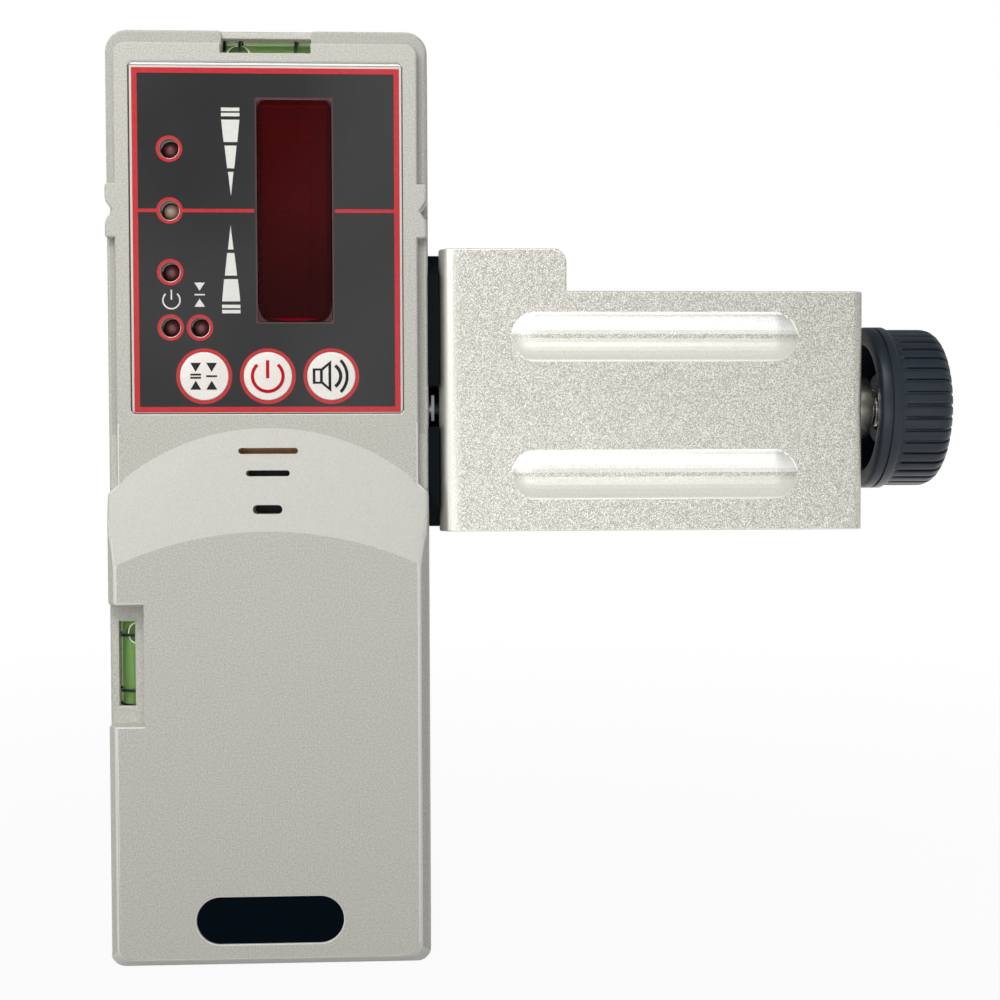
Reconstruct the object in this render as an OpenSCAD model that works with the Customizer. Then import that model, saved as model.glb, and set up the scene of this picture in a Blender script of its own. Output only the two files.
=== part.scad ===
// Laser receiver with its staff clamp, upright as in use.
// x runs to the right, y from the front to the back, z up.
// The origin is the middle of the base, on the plane where the two shells part.

/* [Receiver body] */
// Width of the body
body_w = 58.8; // [56:0.2:66]
// Height of the body
body_h = 172; // [168:1:190]
// Depth from the parting plane to the upper face
front_d = 12; // [11.5:0.5:14]
// Depth from the parting plane to the back
rear_d = 13; // [12.5:0.5:16]
// Step from the upper face out to the lower face
plateau_rise = 3; // [2:0.5:4]
// Radius of the upper corners
corner_r = 4; // [3:0.5:6]
// Radius of the lower corners
base_r = 2.5; // [2:0.5:4]
// Width of the recessed strip along both sides
edge_w = 1.8; // [1.4:0.1:2.6]
// Width of the recessed strip along the top
top_edge_w = 2.7; // [2:0.1:3.5]
// Depth of the recessed strip
edge_d = 1.8; // [1:0.1:2]
// Wall left inside the recessed strip
shoulder = 0.6; // [0.4:0.1:1.2]
// Thickness of the base, back and lower front walls
wall = 2.4; // [2:0.1:3]
// Chamfer round the lower face and the back
chamfer = 1.7; // [1:0.1:2]

/* [Crescent band] */
// Drop from the panel to the top of the band
band_drop = 2.6; // [2:0.2:5]
// Height of the band in the middle
band_h = 18.9; // [16:0.5:22]
// Height of the band's upper arc
band_rise_upper = 11.9; // [8:0.5:13]
// Height of the band's lower arc
band_rise_lower = 7; // [5:0.5:9]

/* [Sound slots] */
// Length of the top slot
slot_len_top = 10.9; // [8:0.1:13]
// Length of the middle slot
slot_len_mid = 8; // [6:0.1:10]
// Length of the lowest slot
slot_len_low = 5.4; // [4:0.1:7]
// Width of the two upper slots
slot_w = 1.1; // [0.8:0.1:1.6]
// Width of the lowest slot
slot_w_low = 1.65; // [1.2:0.05:2]
// Drop from the top of the band to the first slot
slot_drop = 4.2; // [3:0.1:6]
// Step from the first slot to the second
slot_step = 4.1; // [3:0.1:5]
// Step from the second slot to the third
slot_step_low = 6.6; // [5:0.1:7]

/* [Panel] */
// Width of the panel's recess
panel_w = 49.6; // [46:0.2:51]
// Height of the panel's recess
panel_h = 64; // [62:0.5:70]
// Drop from the top of the body to the recess
panel_drop = 6.3; // [6:0.1:8]
// Depth of the recess
panel_recess = 1.2; // [1:0.1:1.6]
// Thickness of the panel
panel_t = 0.9; // [0.6:0.1:1]
// Corner radius of the recess
panel_r = 0.8; // [0.4:0.1:2]
// Wall behind the panel
seat_wall = 1.5; // [1.2:0.1:2]
// Drop from the recess's top to the sighting line
sight_drop = 26.9; // [25:0.1:29]

/* [Detector window] */
// Width of the window
window_w = 13.6; // [11:0.2:15]
// Height of the window
window_h = 40.5; // [34:0.5:44]
// Place of the window across the body
window_x = 5.1; // [4:0.1:7]
// Rim of the wall that carries the window
window_rim = 0.9; // [0.6:0.1:1.6]
// Thickness of the window
window_t = 0.8; // [0.5:0.1:0.9]
// Corner radius of the window
window_r = 0.5; // [0.2:0.1:1.5]
// Radius of the lower corners of the hole behind the window
window_hole_r = 2.6; // [1:0.1:4]

/* [Keys and lamps] */
// Radius of a key
key_r = 4.45; // [3.8:0.05:4.8]
// Step between the keys
key_pitch = 11.6; // [11.4:0.1:13]
// Height of the keys above the recess's lower edge
key_rise = 6.9; // [6:0.1:8]
// Travel of a key
key_travel = 0.4; // [0.2:0.05:0.5]
// Radius of a lamp
lamp_r = 1.5; // [1:0.05:1.8]
// Place of the lamp column across the body
lamp_x = -17.6; // [-19:0.1:-15]
// Step between the signal lamps
lamp_pitch = 11.2; // [9:0.1:12]
// Drop from the sighting line to the status lamps
status_drop = 21.3; // [19:0.1:22]
// Step between the status lamps
status_pitch = 5.3; // [4.6:0.1:7]

/* [Sighting marks] */
// Height of the blocks that carry the sighting marks
sight_block_h = 10; // [8:0.2:12]
// Opening of a sighting mark
sight_notch_h = 3.9; // [2:0.1:5]
// Depth of a sighting mark into the side
sight_notch_w = 1.4; // [0.8:0.1:1.6]
// Depth of a sighting mark from the face
sight_notch_d = 5; // [4:0.5:8]

/* [Vials] */
// Radius of a vial
vial_r = 3.5; // [3:0.1:3.8]
// Radius of a vial's bore
vial_bore_r = 2.6; // [2:0.1:2.7]
// Length of a vial
vial_len = 18; // [17.2:0.2:22]
// Distance of a vial's axis from the outside of the body
vial_inset = 4.1; // [3.9:0.1:5]
// Step between the rings of a vial
ring_pitch = 10.3; // [8:0.1:12]
// Width of a ring
ring_w = 0.5; // [0.3:0.05:0.8]
// Depth of a ring
ring_t = 0.2; // [0.1:0.05:0.3]
// Width of the top notch
notch_w = 16.4; // [14:0.2:16.8]
// Drop from the top of the body to the notch's lower edge
notch_drop = 4.6; // [4:0.1:5.4]
// Depth from the upper face to the top vial's axis
notch_d = 7.1; // [6.8:0.1:8]
// Height of the side pocket's middle above the base
pocket_z = 55.8; // [50:0.2:60]
// Height of the side pocket
pocket_h = 22.1; // [21:0.1:24]
// Width of the side pocket
pocket_w = 6.9; // [6:0.1:8]
// Depth of the side pocket
pocket_d = 3.8; // [3:0.1:4.5]
// Height of the side pocket's opening on the vial
pocket_window_h = 15.6; // [12:0.2:16.6]
// Width of the side pocket's opening on the vial
pocket_window_w = 2.9; // [2:0.1:4]
// Thickness of the bars in front of the vials
bar_t = 1.5; // [1:0.1:1.8]

/* [Badge] */
// Length of the blank badge
badge_len = 26.9; // [20:0.1:36]
// Height of the blank badge
badge_h = 8.7; // [6:0.1:10]
// Height of the badge's middle above the base
badge_z = 8.8; // [8:0.1:12]
// Depth of the badge's recess
badge_recess = 1; // [0.6:0.1:1.2]
// Thickness of the badge
badge_t = 0.7; // [0.4:0.1:0.8]

/* [Battery] */
// Width of the battery
battery_w = 26.5; // [24:0.1:28]
// Height of the battery without its terminals
battery_h = 46.4; // [44:0.1:48]
// Depth of the battery
battery_d = 17.5; // [16:0.1:18]
// Thickness of the battery door
door_t = 2; // [1.6:0.1:2.4]
// Rim of the door beyond the battery bay
door_rim = 2.6; // [2:0.1:4]
// Radius of the door's hinge knuckle
knuckle_r = 1.5; // [1.3:0.05:1.7]
// Radius of the door's hinge pins
hinge_pin_r = 0.9; // [0.6:0.05:1]
// Length of the door's hinge pins
hinge_pin_len = 2; // [1.5:0.1:3]
// Height of the door's hinge above the base
hinge_z = 9.5; // [9:0.1:12]

/* [Bracket] */
// Thickness of the bracket's sheet
sheet_t = 1.6; // [1.2:0.1:1.8]
// Length of the bracket across both flanges
bracket_len = 79.6; // [76:0.2:100]
// Height of the bracket
bracket_h = 44.6; // [42:0.2:52]
// Depth of the bracket's flanges
bracket_d = 29.8; // [27:0.2:36]
// Width of the tab beside the receiver
tab_w = 23.7; // [18:0.1:30]
// Height of the tab above the bracket
tab_h = 7.8; // [5:0.1:12]
// Set-back of the bracket's face from the upper face
bracket_set = 1.2; // [0.5:0.1:2]
// Outer radius of the bend beside the receiver
bend_r = 3; // [2.4:0.1:4]
// Outer radius of the bend at the knob
bend_r_knob = 2; // [2:0.1:3]
// Corner radius of the tab
tab_r = 2.5; // [1:0.1:4]
// Height of the screw axis above the base
axis_z = 103.1; // [100:0.1:106]
// Depth of the screw axis behind the parting plane
axis_y = 6; // [5.6:0.1:6.4]
// Height of the screw axis above the bracket's lower edge
axis_rise = 23.3; // [22:0.1:26]
// Step between the two pressed ribs
rib_pitch = 25.6; // [23:0.1:27]
// Width of a pressed rib
rib_w = 9.3; // [7:0.1:10.5]
// Height of a pressed rib
rib_h = 1.5; // [1:0.1:1.8]
// Length of a pressed rib
rib_len = 53.8; // [40:0.2:58]
// Distance of the ribs from the receiver's flange
rib_start = 13.3; // [11:0.1:16]
// Thickness of the spacer pad
pad_t = 2; // [1.5:0.1:3]
// Cut corners of the spacer pad
pad_cut = 4; // [2:0.1:6]
// Rim of the flange round the spacer pad
pad_rim = 0.8; // [0.5:0.1:2]

/* [Clamp] */
// Radius of the clamp screw
screw_r = 4; // [3:0.1:4.4]
// Gap between the jaws with the screw turned in
jaw_gap = 25; // [20:0.5:30]
// Travel of the clamp screw
screw_travel = 32; // [20:1:32]
// Thickness of the fixed jaw's pad
jaw_t = 3.6; // [3.4:0.1:5]
// Height of both jaws
jaw_h = 30; // [24:0.5:32]
// Thickness of the clamp foot
foot_t = 5; // [4:0.1:6]
// Thickness of the clamp foot's pad
foot_pad_t = 2; // [1:0.1:3]
// Radius of the clamp foot's hub
foot_hub_r = 8; // [6:0.1:9]
// Length of the clamp foot's hub
foot_hub_len = 6; // [4:0.1:6]
// Radius of the threaded bush
bush_r = 6; // [5.4:0.1:7]
// Length of the bush outside the flange
bush_len = 5; // [4:0.1:5]
// Collar of the bush inside the flange
bush_lip = 1; // [0.6:0.1:1.2]
// Radius of the knob's collar
knob_r = 15.9; // [14:0.1:18]
// Length of the knob
knob_len = 14.4; // [13:0.1:18]
// Length of the knob's collar
knob_collar = 3.9; // [2:0.1:5]
// Step from the collar to the ribbed part
knob_step = 0.5; // [0.3:0.1:1]
// Rounding of the knob's outer end
knob_round = 3; // [1:0.1:4]
// Distance of the knob from the bracket
knob_set = 4; // [3:0.1:5]
// Radius of the knob's hollow
knob_cup_r = 12.4; // [11:0.1:12.8]
// Depth of the knob's hollow
knob_cup_d = 8; // [5:0.1:9]
// Number of grooves round the knob
knob_grooves = 40; // [24:1:48]
// Width of a knob groove
groove_w = 0.7; // [0.4:0.05:1]
// Depth of a knob groove
groove_d = 0.6; // [0.3:0.05:1]

/* [Receiver fixing] */
// Radius of the fixing screw
fixing_r = 3; // [2.5:0.1:3.4]
// Radius of the fixing screw's head
fixing_head_r = 5; // [4.4:0.1:5.4]
// Height of the fixing screw's head
fixing_head_h = 3; // [2:0.1:3.2]
// Radius of the fixing washer
washer_r = 5; // [4.4:0.1:6]
// Width of the spacer pad's slot
pad_slot_w = 7.6; // [6:0.1:8.4]
// Radius of the threaded insert
insert_r = 4.2; // [3.8:0.1:4.5]
// Length of the threaded insert
insert_len = 8; // [6:0.1:10]
// Wall round the threaded insert
insert_wall = 1.3; // [1:0.1:1.4]

/* [Boards] */
// Thickness of the main board
board_t = 1.6; // [1:0.1:2]
// Width of the main board
board_w = 48; // [46:0.2:50]
// Gap between the battery bay and the board
board_gap = 5; // [4:0.1:8]
// Drop of the board's top below the recess's top
board_top_drop = 6; // [5.8:0.1:8]
// Height of the posts that carry the board
post_h = 3; // [2.9:0.1:3.4]
// Radius of the posts
post_r = 2.4; // [2:0.1:2.8]
// Inset of the posts from the board's edges
post_inset = 3.7; // [3.2:0.1:4.2]
// Height of the lower posts above the board's lower edge
post_rise = 13.9; // [12:0.1:16]

/* [Screws] */
// Thread radius of a case screw
case_screw_r = 1.25; // [1:0.05:1.4]
// Head radius of a case screw
case_head_r = 2.5; // [2.2:0.05:2.6]
// Thread radius of a board screw
board_screw_r = 0.9; // [0.7:0.05:1]
// Head radius of a board screw
board_head_r = 1.8; // [1.4:0.05:2]
// Inset of the case screws from the sides
boss_inset = 6.2; // [6:0.1:6.6]
// Height of the lowest case screws
boss_low_z = 6.5; // [6:0.1:7]
// Height of the middle case screws
boss_mid_z = 75.4; // [75:0.1:75.8]
// Drop of the highest case screws
boss_high_drop = 8; // [7.6:0.1:8.4]

/* [Hidden] */
// Names of the pieces, and the one to draw
$fn = 64;

// Overrun of every cut, and the thinnest slice of a blended form
overrun = 0.5;
skin = 0.02;
// Clearances: close fit of fixed pieces, running fit of shafts, free gap of moving pieces
fit = 0.05;
running_gap = 0.05;
free_gap = 0.3;
key_gap = 0.2;
// Arcs of the band
arc_steps = 28;
hull_fn = 32;

// Planes of the body, from the front to the back
half_w = body_w / 2;
face_w = body_w - 2 * edge_w;
face_top = body_h - top_edge_w;
front_y = -front_d;
ledge_y = front_y + edge_d;
plateau_y = front_y - plateau_rise;
seat_y = front_y + panel_recess;
cavity_y = seat_y + seat_wall;
lower_cavity_y = plateau_y + wall;
back_inner_y = rear_d - wall;
cavity_w = face_w - 2 * shoulder;
cavity_top = face_top - shoulder;
cavity_r = 1;

// Heights on the front
panel_top = body_h - panel_drop;
panel_bottom = panel_top - panel_h;
sight_z = panel_top - sight_drop;
key_z = panel_bottom + key_rise;
band_top = panel_bottom - band_drop;
band_low = band_top - band_h;
lower_cavity_top = band_low - band_rise_lower - wall;
slot_zs = [band_top - slot_drop, band_top - slot_drop - slot_step,
    band_top - slot_drop - slot_step - slot_step_low];
slot_lens = [slot_len_top, slot_len_mid, slot_len_low];
slot_ws = [slot_w, slot_w, slot_w_low];
key_xs = [-key_pitch, 0, key_pitch];
signal_zs = [sight_z - lamp_pitch, sight_z, sight_z + lamp_pitch];
status_xs = [lamp_x, lamp_x + status_pitch];
status_z = sight_z - status_drop;

// Battery bay and its door in the back
bay_gap = 0.4;
bay_wall = 1.5;
bay_floor_t = 1;
clip_t = 1.6;
terminal_h = 2.1;
terminal_rs = [2.9, 3.9];
terminal_pitch = 12.7;
socket_wall = 0.8;
bay_half_w = battery_w / 2 + bay_gap;
bay_z0 = hinge_z + door_rim;
battery_z0 = bay_z0 + bay_gap;
clip_z0 = battery_z0 + battery_h + terminal_h + bay_gap;
bay_z1 = clip_z0 + clip_t;
door_y0 = rear_d - door_t;
door_seat_y = door_y0 - free_gap;
battery_y1 = door_y0 - bay_gap;
battery_y0 = battery_y1 - battery_d;
bay_floor_y = battery_y0 - bay_gap;
door_half_w = bay_half_w + door_rim;
frame_half_w = door_half_w + hinge_pin_len + free_gap + bay_wall;
door_z1 = bay_z1 + door_rim;
hinge_y = rear_d - knuckle_r;
door_z0 = hinge_z - knuckle_r - free_gap;
door_groove_count = 4;
door_groove_w = 1.2;
door_groove_d = 0.5;
door_groove_pitch = 2.4;
door_groove_len_share = 0.6;
nail_r = 7;
nail_d = 1.2;

// Keys, switches and lamps between the panel and the board
key_dome = 0.4;
key_flange = 0.8;
key_flange_t = 0.7;
key_proud = 0.1;
panel_front_y = seat_y - panel_t;
key_front_y = panel_front_y - key_proud;
key_flange_y = cavity_y + fit;
board_y = cavity_y + post_h;
board_back_y = board_y + board_t;
board_bottom = bay_z1 + bay_wall + board_gap;
board_top = panel_top - board_top_drop;
post_xs = [-board_w / 2 + post_inset, board_w / 2 - post_inset];
post_zs = [board_bottom + post_rise, board_top - post_inset];
switch_w = 6;
switch_plunger_r = 1.6;
switch_plunger_h = 0.4;
switch_top_y = key_flange_y + key_flange_t + key_travel + fit;
lamp_foot_r = 1.9;
lamp_foot_h = 0.9;
lamp_gap = 0.2;
lamp_recess = 0.3;
diode_w = 5;
diode_h = 5.4;
diode_t = 1.2;
diode_count = 6;
diode_pitch = (window_h - 2 * window_rim) / diode_count;
sounder_r = 8;
sounder_t = 0.5;
sounder_disc_r = 5.6;
sounder_disc_t = 0.3;
// Chips on the board's back: places and sizes as shares of the board
chip_place_shares = [[-0.22, 0.3], [0.2, 0.32], [-0.05, 0.62], [0.26, 0.74]];
chip_size_shares = [[0.3, 0.12], [0.16, 0.08], [0.22, 0.13], [0.14, 0.07]];
chip_t = 1.4;

// Vials and the pockets that hold them
cradle_wall = 1.4;
cradle_back_gap = 0.4;
cradle_set = 0.6;
vial_gap = 0.05;
top_vial_y = front_y + notch_d;
top_vial_z = body_h - vial_inset;
top_bar_y = ledge_y + cradle_set;
pocket_floor_y = plateau_y + pocket_d;
side_vial_x = -half_w + vial_inset;
side_vial_y = pocket_floor_y + vial_r + vial_gap + cradle_set;
side_bar_w = 1.7;
vial_end = 1.2;
bubble_r = 1.5;
bubble_len = 3.6;
bubble_end_gap = 0.6;
bubble_sink_share = 0.7;
vial_window_share = 0.7;

// Case screws
boss_r = 3;
boss_gap = 0.5;
pilot_len = 7;
head_recess = 5;
case_head_h = 1.8;
shank_gap = 0.2;
driver_r = 1.2;
driver_d = 1;
boss_x = half_w - boss_inset;
boss_high_z = body_h - boss_high_drop;
gasket_inset = 0.7;
gasket_w = 1;
gasket_d = 0.8;
board_head_h = 1.2;
board_pilot_len = 2.4;

// Bracket planes, from the receiver to the knob
flange_x = half_w + pad_t;
flange_in_x = flange_x + sheet_t;
bracket_end_x = flange_x + bracket_len;
bracket_in_x = bracket_end_x - sheet_t;
plate_y = front_y + bracket_set;
plate_in_y = plate_y + sheet_t;
flange_end_y = plate_y + bracket_d;
bracket_z0 = axis_z - axis_rise;
bracket_z1 = bracket_z0 + bracket_h;
tab_z1 = bracket_z1 + tab_h;
rib_r = (pow(rib_w / 2, 2) + pow(rib_h, 2)) / (2 * rib_h);
rib_axis_y = plate_y - rib_h + rib_r;
rib_x0 = flange_x + rib_start;
rib_end = rib_w / 2;
bush_neck_r = bush_r - bush_lip;

// Clamp planes, from the fixed jaw to the knob
jaw_x = flange_in_x + jaw_t;
jaw_y0 = plate_in_y + bend_r - sheet_t + free_gap;
jaw_y1 = flange_end_y - pad_rim;
jaw_head_gap = 0.8;
foot_pad_x = jaw_x + jaw_gap;
foot_x = foot_pad_x + foot_pad_t;
foot_back_x = foot_x + foot_t;
foot_hub_x = foot_back_x + foot_hub_len;
foot_y0 = plate_in_y + free_gap;
foot_r = 2;
screw_tip_x = foot_x + foot_t / 2;
knob_x = bracket_end_x + knob_set;
knob_end_x = knob_x + knob_len;
screw_end_x = knob_end_x - knob_round;
knob_hub_r = 7;
knob_hub_set = 3.4;
knob_line_w = 0.4;
knob_line_d = 0.4;
groove_set = 0.3;
foot_pad_rim = 1;

// Fixing screw
washer_gap = 0.3;
head_socket_r = 2.6;
head_socket_d = 1.8;
screw_socket_sides = 6;
insert_boss_len = insert_len + wall;
insert_end = 1;

// Front-view outline, x across and z up, pulled through the depth
module slab(y0, y1) {
    translate([0, y1, 0])
        rotate([90, 0, 0])
            linear_extrude(y1 - y0)
                children();
}

// Plan outline, x across and y to the back, pulled upwards
module plan(z0, z1) {
    translate([0, 0, z0])
        linear_extrude(z1 - z0)
            children();
}

// Box between two corners
module block(low, high) {
    translate(low)
        cube(high - low);
}

// Round bars along each axis, through the point given by the other two coordinates
module bar_x(r, x0, x1, y, z) {
    translate([x0, y, z])
        rotate([0, 90, 0])
            cylinder(r = r, h = x1 - x0);
}

module bar_y(r, y0, y1, x, z) {
    translate([x, y1, z])
        rotate([90, 0, 0])
            cylinder(r = r, h = y1 - y0);
}

module bar_z(r, z0, z1, x, y) {
    translate([x, y, z0])
        cylinder(r = r, h = z1 - z0);
}

// Rectangle centred on x with its own radii at the bottom and the top
module outline(w, z0, z1, r_low, r_high) {
    for (side = [-1, 1]) {
        translate([side * (w / 2 - r_low), z0 + r_low])
            circle(r_low);
        translate([side * (w / 2 - r_high), z1 - r_high])
            circle(r_high);
    }
    translate([-w / 2, z0 + r_low])
        square([w, z1 - z0 - r_low - r_high]);
    translate([-w / 2 + r_low, z0])
        square([w - 2 * r_low, z1 - z0 - r_high]);
    translate([-w / 2 + r_high, z0 + r_low])
        square([w - 2 * r_high, z1 - z0 - r_low]);
}

// The body's outline, drawn in by an inset
module body_outline(inset) {
    outline(body_w - 2 * inset, inset, body_h - inset, base_r - inset, corner_r - inset);
}

module cavity_outline(z1) {
    outline(cavity_w, wall, z1, cavity_r, cavity_r);
}

module panel_outline(inset) {
    outline(panel_w - 2 * inset, panel_bottom + inset, panel_top - inset, panel_r, panel_r);
}

module window_outline(inset, r_low) {
    translate([window_x, 0])
        outline(window_w - 2 * inset, sight_z - window_h / 2 + inset, sight_z + window_h / 2 - inset,
            r_low, window_r);
}

// Bar with round ends, lying across the body
module stadium(len, h, z) {
    translate([0, z])
        square([len - h, h], center = true);
    for (side = [-1, 1])
        translate([side * (len - h) / 2, z])
            circle(h / 2);
}

// Arch as wide as the body: straight sides under an arc of the given height
function arc_radius(rise) = (pow(half_w, 2) + pow(rise, 2)) / (2 * rise);
function arc_points(top, rise) =
    let (r = arc_radius(rise), reach = asin(half_w / r))
    [for (i = [0 : arc_steps])
        let (a = reach * (1 - 2 * i / arc_steps))
        [r * sin(a), top - r + r * cos(a)]];

module arch(top, rise) {
    polygon(concat([[-half_w, 0], [half_w, 0]], arc_points(top, rise)));
}

// Lower half of the front: the sloped band and the raised lower face with its chamfer
module lower_front() {
    intersection() {
        hull() {
            slab(plateau_y, plateau_y + skin)
                arch(band_low, band_rise_lower);
            slab(front_y, 0)
                arch(band_top, band_rise_upper);
        }
        hull() {
            slab(plateau_y, plateau_y + skin)
                outline(body_w - 2 * chamfer, chamfer, band_top, base_r, base_r, $fn = hull_fn);
            slab(plateau_y + chamfer + shoulder, 0)
                outline(body_w, 0, band_top + chamfer, base_r, base_r, $fn = hull_fn);
        }
    }
}

// Blocks at the height of the sighting line, each with a mark cut into its side
module sight_blocks() {
    for (side = [-1, 1])
        mirror([side < 0 ? 1 : 0, 0, 0])
            block([face_w / 2 - shoulder, front_y, sight_z - sight_block_h / 2],
                [half_w, ledge_y + skin, sight_z + sight_block_h / 2]);
}

module sight_marks() {
    mouth = sight_notch_h * (sight_notch_w + overrun) / sight_notch_w / 2;
    for (side = [-1, 1])
        slab(front_y - overrun, front_y + sight_notch_d)
            translate([side * half_w, sight_z])
                polygon([[-side * sight_notch_w, 0], [side * overrun, mouth], [side * overrun, -mouth]]);
}

// Bosses of the case screws, as places seen from the front
module at_bosses() {
    for (x = [-boss_x, boss_x], z = [boss_low_z, boss_mid_z, boss_high_z])
        translate([x, 0, z])
            children();
}

module at_posts() {
    for (x = post_xs, z = post_zs)
        translate([x, 0, z])
            children();
}

// Pocket walls round the top vial, and what is cut for it
module top_cradle() {
    reach = vial_len / 2 + cradle_wall;
    block([-reach, cavity_y - seat_wall, top_vial_z - vial_r - cradle_wall],
        [reach, -cradle_back_gap, cavity_top + shoulder]);
}

module top_cradle_cuts() {
    bar_x(vial_r + vial_gap, -vial_len / 2 - vial_gap, vial_len / 2 + vial_gap, top_vial_y, top_vial_z);
    block([-notch_w / 2, plateau_y, body_h - notch_drop],
        [notch_w / 2, top_bar_y, body_h + overrun]);
    block([-notch_w / 2, plateau_y, body_h - notch_drop],
        [notch_w / 2, top_vial_y, body_h - bar_t]);
    block([-notch_w / 2, top_bar_y + bar_t, top_vial_z],
        [notch_w / 2, top_vial_y + vial_r * vial_window_share, body_h + overrun]);
}

// Pocket walls round the side vial, and what is cut for it
module side_cradle() {
    reach = max(vial_len, pocket_h) / 2 + cradle_wall;
    block([-half_w + edge_w, lower_cavity_y - shoulder, pocket_z - reach],
        [side_vial_x + vial_r + cradle_wall, -cradle_back_gap, pocket_z + reach]);
}

module side_cradle_cuts() {
    translate([-half_w, 0, pocket_z]) {
        block([-overrun, plateau_y - overrun, -pocket_h / 2],
            [pocket_w, pocket_floor_y, pocket_h / 2]);
        block([side_bar_w, plateau_y, -pocket_window_h / 2],
            [side_bar_w + pocket_window_w, side_vial_y, pocket_window_h / 2]);
        block([-overrun, pocket_floor_y + bar_t, -pocket_window_h / 2],
            [vial_inset, side_vial_y + vial_r * vial_window_share, pocket_window_h / 2]);
    }
    bar_z(vial_r + vial_gap, pocket_z - vial_len / 2 - vial_gap, pocket_z + vial_len / 2 + vial_gap,
        side_vial_x, side_vial_y);
}

// Outside of the front shell
module front_form() {
    slab(ledge_y, 0)
        body_outline(0);
    slab(front_y, ledge_y)
        outline(face_w, chamfer, face_top, base_r, corner_r - edge_w);
    sight_blocks();
    lower_front();
}

// Room inside the front shell, less the cradles, posts and bosses that stand in it
module front_room() {
    difference() {
        union() {
            slab(cavity_y, overrun)
                cavity_outline(cavity_top);
            slab(lower_cavity_y, cavity_y + skin)
                cavity_outline(lower_cavity_top);
        }
        top_cradle();
        side_cradle();
        at_posts()
            bar_y(post_r, plateau_y, board_y, 0, 0);
        at_bosses()
            bar_y(boss_r, plateau_y, 0, 0, 0);
    }
}

module front_shell() {
    color([0.8, 0.8, 0.76])
        difference() {
            front_form();
            front_room();
            slab(front_y - overrun, seat_y)
                panel_outline(0);
            slab(seat_y - skin, cavity_y + overrun)
                window_outline(window_rim, window_hole_r);
            for (z = signal_zs)
                bar_y(lamp_r + lamp_gap, seat_y - overrun, cavity_y + overrun, lamp_x, z);
            for (x = status_xs)
                bar_y(lamp_r + lamp_gap, seat_y - overrun, cavity_y + overrun, x, status_z);
            for (x = key_xs)
                bar_y(key_r + key_gap, seat_y - overrun, cavity_y + overrun, x, key_z);
            for (i = [0 : len(slot_zs) - 1])
                slab(plateau_y - overrun, cavity_y + overrun)
                    stadium(slot_lens[i], slot_ws[i], slot_zs[i]);
            slab(plateau_y - overrun, plateau_y + badge_recess)
                stadium(badge_len, badge_h, badge_z);
            sight_marks();
            top_cradle_cuts();
            side_cradle_cuts();
            at_posts()
                bar_y(board_screw_r + fit, board_y - board_pilot_len, board_y + overrun, 0, 0);
            at_bosses()
                bar_y(case_screw_r + fit, -pilot_len, overrun, 0, 0);
        }
}

// Back half of the case with the battery bay, the screw bosses and the insert's boss
module rear_shell() {
    color([0.78, 0.78, 0.74])
        difference() {
            union() {
                difference() {
                    union() {
                        slab(0, rear_d - chamfer)
                            body_outline(0);
                        hull() {
                            slab(rear_d - chamfer - skin, rear_d - chamfer)
                                body_outline(0, $fn = hull_fn);
                            slab(rear_d - skin, rear_d)
                                body_outline(chamfer, $fn = hull_fn);
                        }
                    }
                    slab(-overrun, back_inner_y)
                        cavity_outline(cavity_top);
                }
                at_bosses()
                    bar_y(boss_r, 0, back_inner_y + wall / 2, 0, 0);
                bar_x(insert_r + insert_wall, half_w - insert_boss_len, half_w - edge_w, axis_y, axis_z);
                block([-bay_half_w - bay_wall, bay_floor_y - bay_floor_t, bay_z0 - bay_wall],
                    [bay_half_w + bay_wall, back_inner_y + wall / 2, bay_z1 + bay_wall]);
                block([-frame_half_w, back_inner_y - wall, door_z0 - bay_wall],
                    [frame_half_w, back_inner_y + wall / 2, door_z1 + bay_wall]);
            }
            block([-bay_half_w, bay_floor_y, bay_z0], [bay_half_w, rear_d + overrun, bay_z1]);
            block([-door_half_w - free_gap, door_seat_y, hinge_z],
                [door_half_w + free_gap, rear_d + overrun, door_z1 + free_gap]);
            block([-door_half_w - free_gap, hinge_y, door_z0],
                [door_half_w + free_gap, rear_d + overrun, hinge_z + skin]);
            bar_x(knuckle_r + free_gap, -door_half_w - free_gap, door_half_w + free_gap, hinge_y, hinge_z);
            bar_x(hinge_pin_r + running_gap, -door_half_w - hinge_pin_len - free_gap,
                door_half_w + hinge_pin_len + free_gap, hinge_y, hinge_z);
            bar_y(nail_r, rear_d - nail_d, rear_d + overrun, 0, door_z1 + free_gap);
            at_bosses() {
                bar_y(case_screw_r + shank_gap, -overrun, rear_d, 0, 0);
                bar_y(case_head_r + shank_gap, rear_d - head_recess, rear_d + overrun, 0, 0);
            }
            bar_x(insert_r + fit, half_w - insert_len - fit, half_w + overrun, axis_y, axis_z);
            slab(-overrun, gasket_d)
                gasket_outline(0);
        }
}

module gasket_outline(gap) {
    difference() {
        body_outline(gasket_inset + gap);
        body_outline(gasket_inset + gasket_w - gap);
    }
}

module shell_gasket() {
    color([0.1, 0.1, 0.1])
        slab(0, gasket_d)
            gasket_outline(fit);
}

// Screws put in from the back
module case_screws() {
    color([0.6, 0.6, 0.6])
        at_bosses()
            difference() {
                union() {
                    bar_y(case_screw_r, -pilot_len + fit, rear_d - head_recess + fit, 0, 0);
                    bar_y(case_head_r, rear_d - head_recess, rear_d - head_recess + case_head_h, 0, 0);
                }
                translate([0, rear_d - head_recess + case_head_h, 0])
                    rotate([90, 0, 0])
                        cylinder(r = driver_r, h = driver_d, $fn = screw_socket_sides);
            }
}

module badge_plate() {
    color([0.02, 0.05, 0.07])
        slab(plateau_y + badge_recess - badge_t, plateau_y + badge_recess)
            stadium(badge_len - 2 * fit, badge_h - 2 * fit, badge_z);
}

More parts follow.
